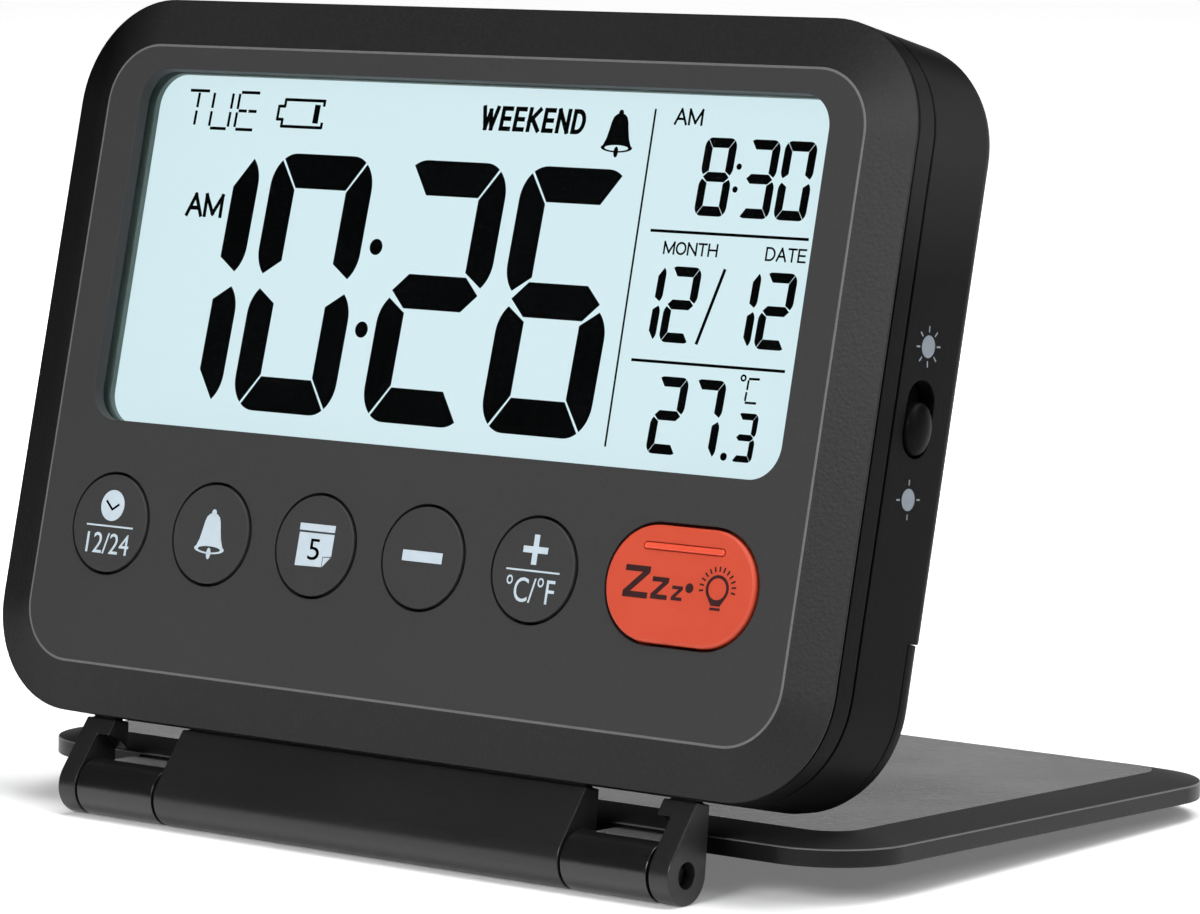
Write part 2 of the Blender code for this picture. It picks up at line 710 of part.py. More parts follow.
def make_display(parent, looks):
    lens = prism(bmesh.new(), window_outline(LENS_OVERLAP), LENS_BACK, LENS_FRONT)
    add_part("display_window", lens, parent, looks["clear"])
    frame_grow = LCD_OVERLAP + GAP + FRAME_RIM
    frame = add_part(
        "display_frame",
        prism(bmesh.new(), window_outline(frame_grow, LCD_LEDGE), LCD_FRAME_BACK, LENS_FRONT),
        parent,
        looks["inner"],
    )
    hollow = bmesh.new()
    prism(hollow, window_outline(0.0), LCD_FRAME_BACK - 1, LENS_FRONT + 1)
    combine(frame, "DIFFERENCE", hollow)
    rebate = prism(bmesh.new(), window_outline(LENS_OVERLAP + GAP), SEAT_FRONT, LENS_FRONT + 1)
    combine(frame, "DIFFERENCE", rebate)
    pocket = prism(bmesh.new(), window_outline(LCD_OVERLAP + GAP, LCD_LEDGE), LCD_FRAME_BACK - 1, SEAT_BACK)
    combine(frame, "DIFFERENCE", pocket)
    glass = prism(bmesh.new(), window_outline(LCD_OVERLAP, LCD_LEDGE), LCD_BACK, LCD_FRONT)
    add_part("display_glass", glass, parent, looks["lcd"])
    half_light = WINDOW_WIDTH / 2 - LED_SIZE[0] - GAP
    x, y = WINDOW_CENTRE
    light_low, light_high = y - WINDOW_HEIGHT / 2, y + WINDOW_HEIGHT / 2 + LCD_OVERLAP
    light = bmesh.new()
    box(light, (x - half_light, x + half_light), (light_low, light_high), (BACKLIGHT_BACK, BACKLIGHT_FRONT))
    add_part("backlight_panel", light, parent, looks["light"])
    for side, name in ((-1, "backlight_led_left"), (1, "backlight_led_right")):
        near = x + side * (half_light + GAP)
        far = near + side * LED_SIZE[0]
        led = bmesh.new()
        led_range = (y - LED_SIZE[1] / 2, y + LED_SIZE[1] / 2)
        box(led, sorted((near, far)), led_range, (BACKLIGHT_BACK, BACKLIGHT_FRONT - LED_STEP))
        add_part(name, led, parent, looks["light"])
    zebra = bmesh.new()
    zebra_top = light_low - GAP
    zebra_range = (zebra_top - ZEBRA_HEIGHT, zebra_top)
    box(zebra, (-ZEBRA_HALF, ZEBRA_HALF), zebra_range, (LCD_FRAME_BACK, LCD_BACK - GAP))
    add_part("zebra_connector", zebra, parent, looks["rubber"])


def make_board(parent, looks):
    half = HALF_WIDTH - WALL - BOARD_EDGE_GAP
    outline = rounded_outline(-half, half, BOARD_BOTTOM, BOARD_TOP, 1.0, 2)
    board = add_part(
        "circuit_board", prism(bmesh.new(), outline, BOARD_BACK, BOARD_FRONT), parent, looks["board"]
    )
    notches = bmesh.new()
    switch_low, switch_high = switch_span()
    notch_range = (switch_low - GAP, switch_high + GAP)
    box(notches, (switch_inner() - GAP, half + 2), notch_range, (BOARD_BACK - 1, BOARD_FRONT + 1))
    for side in (1, -1):
        centre = (side * LOWER_POST[0], LOWER_POST[1])
        cylinder(notches, centre, POST_RADIUS + GAP, BOARD_BACK - 1, BOARD_FRONT + 1)
    for centre in board_screw_places():
        cylinder(notches, centre, BOARD_SCREW_HOLE, BOARD_BACK - 1, BOARD_FRONT + 1, segments=16)
    combine(board, "DIFFERENCE", notches)
    head_radius, head_thick = BOARD_SCREW_HEAD
    tip = BOARD_FRONT + BOARD_SCREW_BITE
    for index, place in enumerate(board_screw_places(), 1):
        head_back = BOARD_BACK - GAP - head_thick
        mesh = screw(bmesh.new(), place, head_back, tip, head_radius, BOARD_SCREW_SHANK, head_thick)
        add_part(f"board_screw_{index}", mesh, parent, looks["steel"])
    rear = BOARD_BACK - GAP
    blob = turned(bmesh.new(), CHIP_CENTRE, [(radius, rear - depth) for radius, depth in CHIP_PROFILE])
    add_part("clock_chip", blob, parent, looks["epoxy"])
    centre = (CRYSTAL_Y, rear - CRYSTAL_RADIUS - LEAD_GAP)
    crystal = cylinder(bmesh.new(), centre, CRYSTAL_RADIUS, *CRYSTAL_SPAN, metres_along_x, 12)
    add_part("quartz_crystal", crystal, parent, looks["steel"])
    centre = (SENSOR_Y, rear - SENSOR_RADIUS - LEAD_GAP)
    bead = cylinder(bmesh.new(), centre, SENSOR_RADIUS, *SENSOR_SPAN, metres_along_x, 12)
    add_part("temperature_sensor", bead, parent, looks["epoxy"])
    seat = BACK_INSIDE + GAP
    buzzer = cylinder(bmesh.new(), BUZZER_CENTRE, BUZZER_RADIUS, seat, seat + BUZZER_HEIGHT)
    add_part("buzzer", buzzer, parent, looks["inner"])


def switch_inner():
    """The slide switch's inner face."""
    return HALF_WIDTH - WALL - GAP - SWITCH_SETBACK - SWITCH_DEPTH


def switch_span():
    return (SLOT_Y - SWITCH_LENGTH / 2, SLOT_Y + SWITCH_LENGTH / 2)


def knob_rest_y():
    return SLOT_Y - (SLOT_LENGTH - KNOB_LENGTH) / 2 + KNOB_CLEARANCE


def make_brightness_switch(parent, looks):
    inner = switch_inner()
    outer = inner + SWITCH_DEPTH
    rest_y = knob_rest_y()
    travel = SLOT_LENGTH - KNOB_LENGTH - 2 * KNOB_CLEARANCE
    body = bmesh.new()
    box(body, (inner, outer), switch_span(), (SLOT_Z - SWITCH_HALF_HEIGHT, BOARD_FRONT - LEAD_GAP))
    switch = add_part("slide_switch", body, parent, looks["steel"])
    groove = bmesh.new()
    groove_range = (rest_y - KNOB_PIN / 2 - GAP, rest_y + travel + KNOB_PIN / 2 + GAP)
    half = KNOB_PIN / 2 + GAP
    box(groove, (outer - SWITCH_GROOVE, outer + 1), groove_range, (SLOT_Z - half, SLOT_Z + half))
    combine(switch, "DIFFERENCE", groove)
    half_y = KNOB_LENGTH / 2
    half_z = SLOT_WIDTH / 2 - KNOB_CLEARANCE
    centre = (rest_y, SLOT_Z)
    flange_outer = HALF_WIDTH - WALL - GAP
    flange_inner = flange_outer - KNOB_FLANGE_THICK
    neck = oval_outline(centre, half_y - KNOB_NECK[0], half_z - KNOB_NECK[1], 32)
    sections = [
        (neck, outer + GAP),
        (neck, flange_inner),
        (oval_outline(centre, *KNOB_FLANGE, 32), flange_inner),
        (oval_outline(centre, *KNOB_FLANGE, 32), flange_outer),
        (oval_outline(centre, half_y, half_z, 32), flange_outer),
        (oval_outline(centre, half_y, half_z, 32), HALF_WIDTH),
    ]
    whole = math.radians(KNOB_DOME_TURN)
    for step in range(1, ROUND_STEPS + 1):
        angle = whole * step / ROUND_STEPS
        outline = oval_outline(centre, half_y * math.cos(angle), half_z * math.cos(angle), 32)
        sections.append((outline, HALF_WIDTH + KNOB_RISE * math.sin(angle) / math.sin(whole)))
    knob_mesh = loft(bmesh.new(), sections, metres_along_x)
    knob = add_part("brightness_knob", knob_mesh, parent, looks["satin"])
    pin = bmesh.new()
    pin_half = KNOB_PIN / 2
    pin_range = (rest_y - pin_half, rest_y + pin_half)
    box(pin, (outer - PIN_BITE, outer + GAP + 0.4), pin_range, (SLOT_Z - pin_half, SLOT_Z + pin_half))
    combine(knob, "UNION", pin)


def make_buttons(parent, looks):
    stem_end = FLANGE_FRONT - FLANGE_THICK - STEM_LENGTH
    flange_back = FLANGE_FRONT - FLANGE_THICK
    for name, place in zip(BUTTON_NAMES, button_places()):
        profile = [
            (STEM_RADIUS, stem_end),
            (STEM_RADIUS, flange_back),
            (BUTTON_RADIUS + FLANGE_EXTRA, flange_back),
            (BUTTON_RADIUS + FLANGE_EXTRA, FLANGE_FRONT),
            (BUTTON_RADIUS, FLANGE_FRONT),
            (BUTTON_RADIUS, BUTTON_PROUD - BUTTON_EDGE),
            (BUTTON_RADIUS - BUTTON_EDGE, BUTTON_PROUD),
        ]
        mesh = turned(bmesh.new(), place, profile, segments=32)
        add_part(name, mesh, parent, looks["panel"], (*place, 0.0))
    sections = [
        (snooze_outline(-SNOOZE_STEM_INSET), stem_end),
        (snooze_outline(-SNOOZE_STEM_INSET), flange_back),
        (snooze_outline(SNOOZE_FLANGE), flange_back),
        (snooze_outline(SNOOZE_FLANGE), FLANGE_FRONT),
        (snooze_outline(0.0), FLANGE_FRONT),
        (snooze_outline(0.0), SNOOZE_PROUD - SNOOZE_EDGE),
        (snooze_outline(-SNOOZE_EDGE), SNOOZE_PROUD),
    ]
    snooze = add_part(
        "snooze_button", loft(bmesh.new(), sections), parent, looks["orange"], (SNOOZE_X, BUTTON_Y, 0.0)
    )
    ridge_centre = (SNOOZE_X + RIDGE_OFFSET[0], BUTTON_Y + RIDGE_OFFSET[1])
    ridge = prism(bmesh.new(), stadium_outline(ridge_centre, *RIDGE_SIZE, 3), -0.5, SNOOZE_PROUD + RIDGE_RISE)
    combine(snooze, "UNION", ridge)
    membrane_front = MEMBRANE_BACK + MEMBRANE_THICK
    first = BUTTON_FIRST_X - BUTTON_RADIUS
    last = SNOOZE_X + SNOOZE_WIDTH / 2
    low, high = BUTTON_Y - MEMBRANE_REACH[0], BUTTON_Y + MEMBRANE_REACH[1]
    outline = rounded_outline(first, last, low, high, MEMBRANE_CORNER, 3)
    membrane = add_part(
        "keypad_membrane", prism(bmesh.new(), outline, MEMBRANE_BACK, membrane_front), parent, looks["rubber"]
    )
    domes = bmesh.new()
    wide, narrow = DOME_RADII
    for place in button_places() + [(SNOOZE_X, BUTTON_Y)]:
        profile = [(wide, membrane_front - 0.2), (wide, membrane_front), (narrow, membrane_front + DOME_RISE)]
        turned(domes, place, profile, segments=16)
    combine(membrane, "UNION", domes)


def make_housing_screws(parent, material):
    for index, (x, y) in enumerate(post_places(), 1):
        back = HOUSING_BACK if y > 0 else LEDGE_BACK
        head_back = back + GAP
        mesh = screw(bmesh.new(), (x, y), head_back, -POST_END + PILOT_DEPTH - GAP, SCREW_HEAD, SCREW_SHANK)
        add_part(f"housing_screw_{index}", mesh, parent, material)


def make_batteries(parent, looks):
    centre = (CELL_Y, CELL_Z)
    body_length = CELL_LENGTH - CELL_NUB[1]
    right_end = TRAY_HALF - CONTACT_THICK - 2 * GAP - 0.9
    starts = (right_end - CELL_LENGTH, right_end - 2 * CELL_LENGTH - GAP)
    for index, start in enumerate(starts, 1):
        end = start + body_length
        profile = [
            (CELL_RADIUS - CELL_EDGE, start),
            (CELL_RADIUS, start + CELL_EDGE),
            (CELL_RADIUS, end - CELL_EDGE),
            (CELL_RADIUS - CELL_EDGE, end),
            (CELL_NUB[0], end),
            (CELL_NUB[0], start + CELL_LENGTH),
        ]
        cell = turned(bmesh.new(), centre, profile, metres_along_x, 28)
        add_part(f"battery_{index}", cell, parent, looks["cell"])
    plate_back = -DOOR_LIP + 0.4
    plate_range = (CELL_Y - CONTACT_HALF, CELL_Y + CONTACT_HALF)
    plus = bmesh.new()
    plus_outer = TRAY_HALF - GAP
    box(plus, (plus_outer - CONTACT_THICK, plus_outer), plate_range, (plate_back, TRAY_FLOOR - GAP))
    plus_part = add_part("battery_contact_plus", plus, parent, looks["steel"])
    bump_radius, bump_height = CONTACT_BUMP
    bump_low = plus_outer - CONTACT_THICK - bump_height
    bump = cylinder(bmesh.new(), centre, bump_radius, bump_low, plus_outer - 0.2, metres_along_x, 16)
    combine(plus_part, "UNION", bump)
    minus = bmesh.new()
    minus_outer = GAP - TRAY_HALF
    box(minus, (minus_outer, minus_outer + CONTACT_THICK), plate_range, (plate_back, TRAY_FLOOR - GAP))
    add_part("battery_contact_minus", minus, parent, looks["steel"])
    spring_start = GAP + CONTACT_THICK - TRAY_HALF + GAP + SPRING_WIRE
    spring_end = starts[1] - GAP - SPRING_WIRE
    path = []
    steps = 12 * SPRING_TURNS
    for step in range(steps + 1):
        share = step / steps
        angle = math.tau * SPRING_TURNS * share
        radius = SPRING_RADII[0] + (SPRING_RADII[1] - SPRING_RADII[0]) * share
        x = spring_start + (spring_end - spring_start) * share
        path.append((x, CELL_Y + radius * math.cos(angle), CELL_Z + radius * math.sin(angle)))
    add_part("battery_spring", tube(bmesh.new(), path, SPRING_WIRE, 6), parent, looks["steel"])
    for side, name, look in ((1, "wire_red", "red"), (-1, "wire_black", "satin")):
        edge = TRAY_HALF + TRAY_WALL + GAP + WIRE_RADIUS + 0.1
        route = [
            (side * edge, CELL_Y + 3.0, CELL_Z + 0.5),
            (side * (edge + 0.9), CELL_Y + 6.0, CELL_Z - 1.0),
            (side * (edge + 1.0), CELL_Y + 9.0, CELL_Z - 1.2),
            (side * edge, CELL_Y + 14.0, CELL_Z - 1.4),
            (side * (edge - 4.0), CELL_Y + 16.0, CELL_Z - 1.2),
        ]
        add_part(name, tube(bmesh.new(), smooth_path(route, 14), WIRE_RADIUS), parent, looks[look])


def make_bracket(parent, looks):
    middle = -LEAF_FRONT - LEAF_THICK / 2
    bar_low = -HALF_HEIGHT + FRAME_WALL + GAP
    bar = bmesh.new()
    bar_half = EAR_OUTER - TONGUE_INSET
    bar_depth = (middle - BAR_DEPTH / 2, middle + BAR_DEPTH / 2)
    box(bar, (-bar_half, bar_half), (bar_low, bar_low + BAR_HEIGHT), bar_depth)
    bracket = add_part("hinge_bracket", bar, parent, looks["satin"])
    tongues = bmesh.new()
    for x_range in tongue_spans():
        tongue_depth = (middle - TONGUE_THICK / 2, middle + TONGUE_THICK / 2)
        box(tongues, x_range, (LEAF_TOP - 0.5, bar_low + 0.4), tongue_depth)
    combine(bracket, "UNION", tongues)
    leaves = bmesh.new()
    spans = [(-KNUCKLE_HALF, KNUCKLE_HALF), *both_sides(ROOT_INNER, EAR_OUTER)]
    for x_low, x_high in spans:
        prism(leaves, leaf_outline(), x_low, x_high, metres_along_x)
    combine(bracket, "UNION", leaves)
    hollows = bmesh.new()
    hollow_centre = (HINGE_Y, HINGE_Z + ROOT_CUT_FORWARD)
    for x_low, x_high in both_sides(ROOT_INNER - 1, EAR_INNER):
        cylinder(hollows, hollow_centre, ROOT_CUT_RADIUS, x_low, x_high, metres_along_x, 48)
    combine(bracket, "DIFFERENCE", hollows)
    bores = bmesh.new()
    for x_low, x_high in both_sides(PIN_INNER - GAP, EAR_OUTER + 2):
        cylinder(bores, (HINGE_Y, HINGE_Z), PIN_HOLE, x_low, x_high, metres_along_x)
    for side in (1, -1):
        centre = (middle, side * BRACKET_SCREW_X)
        low, high = bar_low - 1, bar_low + BAR_HEIGHT + 1
        cylinder(bores, centre, BRACKET_SCREW_HOLE, low, high, metres_along_y, 16)
    combine(bracket, "DIFFERENCE", bores)
    head = bar_low + BAR_HEIGHT + GAP
    for side, name in ((-1, "bracket_screw_left"), (1, "bracket_screw_right")):
        centre = (middle, side * BRACKET_SCREW_X)
        tip = -HALF_HEIGHT + 0.8
        head_radius, head_thick = BRACKET_SCREW_HEAD
        profile = [
            (0.3, tip),
            (BRACKET_SCREW_SHANK, tip + 0.4),
            (BRACKET_SCREW_SHANK, head),
            (head_radius, head),
            (head_radius - 0.1, head + head_thick),
        ]
        mesh = turned(bmesh.new(), centre, profile, metres_along_y, 16)
        add_part(name, mesh, parent, looks["steel"])
    centre = (HINGE_Y, HINGE_Z)
    pin_outer = EAR_OUTER - PIN_RECESS
    for (x_low, x_high), side in zip(both_sides(PIN_INNER, pin_outer), ("right", "left")):
        pin = cylinder(bmesh.new(), centre, PIN_RADIUS, x_low, x_high, metres_along_x)
        add_part(f"hinge_pin_{side}", pin, parent, looks["steel"])


def make_cover(parent, looks):
    sections = [
        (cover_outline(0.0), COVER_BOTTOM),
        (cover_outline(0.0), COVER_RIM),
        (cover_outline(COVER_BEVEL), COVER_TOP),
    ]
    plate = add_part("cover_plate", loft(bmesh.new(), sections), parent, looks["satin"])
    hollow = [
        (cover_outline(COVER_WALL), COVER_BOTTOM - 1),
        (cover_outline(COVER_WALL), COVER_RIM - COVER_SKIN),
        (cover_outline(COVER_WALL + COVER_BEVEL), COVER_TOP - COVER_SKIN),
    ]
    combine(plate, "DIFFERENCE", loft(bmesh.new(), hollow))
    arms = bmesh.new()
    for x_low, x_high in both_sides(ARM_INNER, ARM_OUTER):
        prism(arms, arm_outline(), x_low, x_high, metres_along_x)
    combine(plate, "UNION", arms)
    bosses = bmesh.new()
    for side in (1, -1):
        centre = (side * FOOT_X, FOOT_Y)
        cylinder(bosses, centre, FOOT_RADIUS + BOSS_MARGIN, foot_top() + BOSS_GAP, COVER_TOP - BOSS_INSET)
    combine(plate, "UNION", bosses)
    bores = bmesh.new()
    for x_low, x_high in both_sides(ARM_INNER - 1, ARM_OUTER + 1):
        cylinder(bores, (0.0, 0.0), PIN_HOLE, x_low, x_high, metres_along_x)
    combine(plate, "DIFFERENCE", bores)
    seats = bmesh.new()
    for x_low, x_high in both_sides(ARM_OUTER - WASHER_THICK - GAP, ARM_OUTER + 1):
        cylinder(seats, (0.0, 0.0), WASHER_SEAT, x_low, x_high, metres_along_x)
    combine(plate, "DIFFERENCE", seats)
    washer_outer = ARM_OUTER - 0.05
    washer_spans = both_sides(washer_outer - WASHER_THICK, washer_outer)
    for (x_low, x_high), side in zip(washer_spans, ("right", "left")):
        ring = cylinder(bmesh.new(), (0.0, 0.0), WASHER_OUTER, x_low, x_high, metres_along_x)
        washer = add_part(f"hinge_washer_{side}", ring, parent, looks["steel"])
        hole = cylinder(bmesh.new(), (0.0, 0.0), PIN_HOLE, x_low - 1, x_high + 1, metres_along_x)
        combine(washer, "DIFFERENCE", hole)
    for side, name in ((1, "foot_right"), (-1, "foot_left")):
        profile = [(FOOT_RADIUS - FOOT_EDGE, 0.0), (FOOT_RADIUS, FOOT_EDGE), (FOOT_RADIUS, FOOT_HEIGHT)]
        foot = add_part(name, turned(bmesh.new(), (0.0, 0.0), profile), parent, looks["rubber"])
        foot.location = Vector((side * FOOT_X, FOOT_Y, floor_below(FOOT_Y))) * MM
        foot.rotation_euler.x = math.radians(COVER_TILT)


def floor_below(y):
    """Height of the table top in the cover frame, under a point at y."""
    tilt = math.radians(COVER_TILT)
    return y * math.tan(tilt) - HINGE_RADIUS / math.cos(tilt)


def foot_top():
    return floor_below(FOOT_Y) + FOOT_HEIGHT


def standing_frames():
    """The body's and the cover's empties, placed so that the clock stands centred on z = 0."""
    tilt = math.radians(COVER_TILT)
    rear = COVER_REAR * math.cos(tilt) + COVER_RIM * math.sin(tilt)
    hinge = Vector((-KNOB_RISE / 2, (HINGE_RADIUS - rear) / 2, HINGE_RADIUS))
    turn = 90 - BODY_TO_COVER_LEAN - COVER_TILT
    hinge_in_body = Vector((0.0, HINGE_Y, HINGE_Z))
    body_origin = hinge - Matrix.Rotation(math.radians(turn), 3, "X") @ hinge_in_body
    body = add_frame("body_frame", None, body_origin, turn)
    cover = add_frame("cover_frame", None, hinge, -COVER_TILT)
    return body, cover


def make_clock():
    for thing in list(bpy.data.objects):
        bpy.data.objects.remove(thing)
    looks = {
        "panel": finish("panel_plastic", (0.055, 0.055, 0.057), 0.55),
        "satin": finish("satin_black_plastic", (0.02, 0.02, 0.022), 0.45),
        "orange": finish("orange_plastic", (0.70, 0.09, 0.035), 0.45),
        "clear": finish("clear_plastic", (0.9, 0.95, 0.95), 0.05),
        "lcd": finish("display_glass", (0.62, 0.80, 0.83), 0.2),
        "light": finish("light_guide", (0.8, 0.9, 0.92), 0.3),
        "inner": finish("grey_green_plastic", (0.07, 0.10, 0.09), 0.5),
        "board": finish("circuit_board", (0.02, 0.16, 0.07), 0.5),
        "epoxy": finish("black_epoxy", (0.01, 0.01, 0.01), 0.3),
        "rubber": finish("rubber", (0.03, 0.03, 0.03), 0.8),
        "steel": finish("plated_steel", (0.6, 0.6, 0.6), 0.3, 1.0),
        "cell": finish("battery_sleeve", (0.03, 0.05, 0.12), 0.35),
        "red": finish("red_insulation", (0.5, 0.02, 0.02), 0.5),
    }
    body, cover = standing_frames()
    make_front_panel(body, looks["panel"])
    make_middle_frame(body, looks["satin"])
    make_rear_housing(body, looks["satin"])
    make_battery_door(body, looks["satin"])
    make_display(body, looks)
    make_board(body, looks)
    make_brightness_switch(body, looks)
    make_buttons(body, looks)
    make_housing_screws(body, looks["steel"])
    make_batteries(body, looks)
    make_bracket(body, looks)
    make_cover(cover, looks)


make_clock()
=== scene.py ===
# %% [markdown]
# # A folding travel clock
# This notebook gives a working CAD model of a small alarm clock its finished look. The CAD model
# holds the sizes and the motion. Here each piece that shows is modelled again with soft edges and
# real surface detail, and rides on the CAD body that it belongs to.
#
# Everything is drawn in millimetres, because Blender's modelling operators have merging distances
# that suit large things, and is brought to its real size in metres when it is put in place.

# %% Start: load the frame
import json
import math
from contextlib import contextmanager

import bmesh
import bpy
from mathutils import Matrix, Vector


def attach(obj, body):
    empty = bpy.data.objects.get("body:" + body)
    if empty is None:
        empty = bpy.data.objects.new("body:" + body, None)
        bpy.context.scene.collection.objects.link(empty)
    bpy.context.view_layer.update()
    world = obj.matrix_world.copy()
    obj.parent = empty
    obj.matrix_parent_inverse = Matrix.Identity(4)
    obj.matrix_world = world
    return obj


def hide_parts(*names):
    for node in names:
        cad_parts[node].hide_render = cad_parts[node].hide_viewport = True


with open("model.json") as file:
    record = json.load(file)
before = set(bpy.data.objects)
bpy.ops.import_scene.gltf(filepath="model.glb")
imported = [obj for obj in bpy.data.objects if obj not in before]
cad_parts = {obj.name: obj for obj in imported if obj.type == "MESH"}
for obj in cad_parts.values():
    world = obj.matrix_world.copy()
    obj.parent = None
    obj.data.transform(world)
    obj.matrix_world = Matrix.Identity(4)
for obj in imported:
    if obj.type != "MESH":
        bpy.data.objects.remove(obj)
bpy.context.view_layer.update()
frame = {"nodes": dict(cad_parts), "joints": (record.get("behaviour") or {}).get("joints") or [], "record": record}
joints = {joint["name"]: joint for joint in frame["joints"]}
MM = 0.001

# %% [markdown]
# ## Four places to draw in
# The clock body leans back, so drawing it where it stands would be awkward. Each piece is drawn in
# the flat frame that it was designed in. In the body frame x runs to the right, y up the display
# and z out of it, from the centre of the front face. The side frame lies on the right side wall,
# and the cover frame lies along the base plate, from the hinge axis. The directions come from the
# joints: the buttons press straight into the face, and the brightness knob slides up the body.

# %% The frames
HINGE_IN_BODY = Vector((0.0, -45.93, -1.9))
COVER_TILT = math.radians(1.7)
HALF_WIDTH = 55.25

right = Vector((1, 0, 0))
out_of_face = -Vector(joints["clock_press"]["axis"])
up_face = Vector(joints["brightness_slide"]["axis"])
hinge = Vector(joints["cover_hinge"]["pos_m"]) / MM


def frame_from(origin, x_axis, y_axis, z_axis):
    """The matrix that carries a drawing in millimetres to its place in metres."""
    turn = Matrix((x_axis, y_axis, z_axis)).transposed().to_4x4()
    return Matrix.Scale(MM, 4) @ Matrix.Translation(origin) @ turn


body_origin = hinge - up_face * HINGE_IN_BODY.y - out_of_face * HINGE_IN_BODY.z
BODY = frame_from(body_origin, right, up_face, out_of_face)
SIDE = frame_from(body_origin + right * HALF_WIDTH, up_face, out_of_face, right)
back = Vector((0, math.cos(COVER_TILT), -math.sin(COVER_TILT)))
COVER = frame_from(hinge, right, back, right.cross(back))
print("body origin", [round(value, 2) for value in body_origin], "mm")

# %% [markdown]
# ## The camera
# A long lens from about half a metre away keeps the clock's edges nearly parallel, as in a product
# shot. It stands to the right of the clock, a little above it, and looks slightly down.

# %% Camera
CAMERA_PLACE = Vector((350.0, -439.5, 103.8))
CAMERA_TURN = (83.259, 0.0, 38.491)
CAMERA_LENS = 160.6

bpy.ops.object.select_all(action="DESELECT")
turn = [math.radians(angle) for angle in CAMERA_TURN]
bpy.ops.object.camera_add(location=CAMERA_PLACE * MM, rotation=turn)
camera = bpy.context.object
camera.name = "camera"
camera.data.lens = CAMERA_LENS
camera.data.sensor_width = 36.0
camera.data.clip_start = 0.01
bpy.context.scene.camera = camera
bpy.context.scene.view_settings.view_transform = "Standard"
print("camera", round((CAMERA_PLACE - body_origin).length), "mm from the clock")

# %% [markdown]
# ## Modelling helpers
# A block with rounded edges, a round rod, a cut, a join and a softened edge make most of a moulded
# plastic product. Each helper below is one of those. They use the same operators as the menus do,
# so nearly everything is deselected first and then chosen in code.

# %% Selecting and editing
def only(piece):
    """Makes a piece the one selected and active object."""
    bpy.ops.object.select_all(action="DESELECT")
    piece.select_set(True)
    bpy.context.view_layer.objects.active = piece
    return piece


@contextmanager
def editing(piece, mode="FACE"):
    """Edit mode on one piece, with nothing selected."""
    only(piece)
    bpy.ops.object.mode_set(mode="EDIT")
    bpy.ops.mesh.select_mode(type=mode)
    bpy.ops.mesh.select_all(action="DESELECT")
    yield
    bpy.ops.object.mode_set(mode="OBJECT")


def choose_faces(piece, test):
    """In edit mode, selects the faces whose centre and normal pass a test."""
    bpy.ops.mesh.select_all(action="DESELECT")
    mesh = bmesh.from_edit_mesh(piece.data)
    for face in mesh.faces:
        if test(face.calc_center_median(), face.normal):
            face.select_set(True)
    bmesh.update_edit_mesh(piece.data)


def choose_edges(piece, test):
    """In edit mode, selects the edges whose two ends pass a test."""
    bpy.ops.mesh.select_all(action="DESELECT")
    mesh = bmesh.from_edit_mesh(piece.data)
    for edge in mesh.edges:
        if test(edge.verts[0].co, edge.verts[1].co):
            edge.select_set(True)
    bmesh.update_edit_mesh(piece.data)


# %% Blocks, rods, cuts and joins
def named(name):
    """Names the new primitive and applies its place, so that its mesh holds it."""
    bpy.ops.object.transform_apply(location=True, rotation=True, scale=True)
    piece = bpy.context.object
    piece.name = piece.data.name = name
    return piece


def block(name, low, high):
    """A plain block between two corners."""
    low, high = Vector(low), Vector(high)
    bpy.ops.object.select_all(action="DESELECT")
    bpy.ops.mesh.primitive_cube_add(size=1, location=(low + high) / 2)
    bpy.context.object.scale = high - low
    return named(name)


def rounded_block(name, low, high, radius, segments=20, along=2):
    """A block whose four edges along one axis are rounded."""
    piece = block(name, low, high)
    with editing(piece, "EDGE"):
        across = [axis for axis in range(3) if axis != along]
        choose_edges(piece, lambda a, b: all(abs(a[axis] - b[axis]) < 1e-4 for axis in across))
        bpy.ops.mesh.bevel(offset=radius, segments=segments, affect="EDGES")
    return piece


TURNS = {0: (0, math.pi / 2, 0), 1: (-math.pi / 2, 0, 0), 2: (0, 0, 0)}


def rod(name, start, length, radius, along=2, sides=64):
    """A round rod from the centre of its first end, along one axis."""
    centre = Vector(start)
    centre[along] += length / 2
    bpy.ops.object.select_all(action="DESELECT")
    bpy.ops.mesh.primitive_cylinder_add(
        vertices=sides, radius=radius, depth=length, location=centre, rotation=TURNS[along]
    )
    return named(name)


def join(pieces, name=None):
    """Puts several meshes in the first one's object."""
    only(pieces[0])
    for piece in pieces:
        piece.select_set(True)
    bpy.ops.object.join()
    joined = bpy.context.object
    joined.name = name or joined.name
    return joined


def combine(piece, operation, *tools):
    """Cuts tools from a piece (DIFFERENCE) or joins them on (UNION), one at a time."""
    for tool in tools:
        only(piece)
        modifier = piece.modifiers.new("shape", "BOOLEAN")
        modifier.operation = operation
        modifier.solver = "EXACT"
        modifier.object = tool
        bpy.ops.object.modifier_apply(modifier=modifier.name)
        bpy.data.objects.remove(tool)
    return piece


def cut(piece, *tools):
    return combine(piece, "DIFFERENCE", *tools)


def fuse(piece, *tools):
    return combine(piece, "UNION", *tools)


def copy_of(piece, name, place):
    """A copy with its own mesh, moved to a place."""
    copy = bpy.data.objects.new(name, piece.data.copy())
    bpy.context.scene.collection.objects.link(copy)
    copy.location = place
    only(copy)
    bpy.ops.object.transform_apply(location=True)
    return copy


# %% Soft edges and smooth shading
def smooth(piece, angle=35.0):
    """Smooth shading over shallow angles, led by the large faces so that flats stay flat."""
    only(piece)
    bpy.ops.object.shade_smooth_by_angle(angle=math.radians(angle))
    modifier = piece.modifiers.new("flats", "WEIGHTED_NORMAL")
    modifier.keep_sharp = True
    bpy.ops.object.modifier_apply(modifier=modifier.name)
    return piece


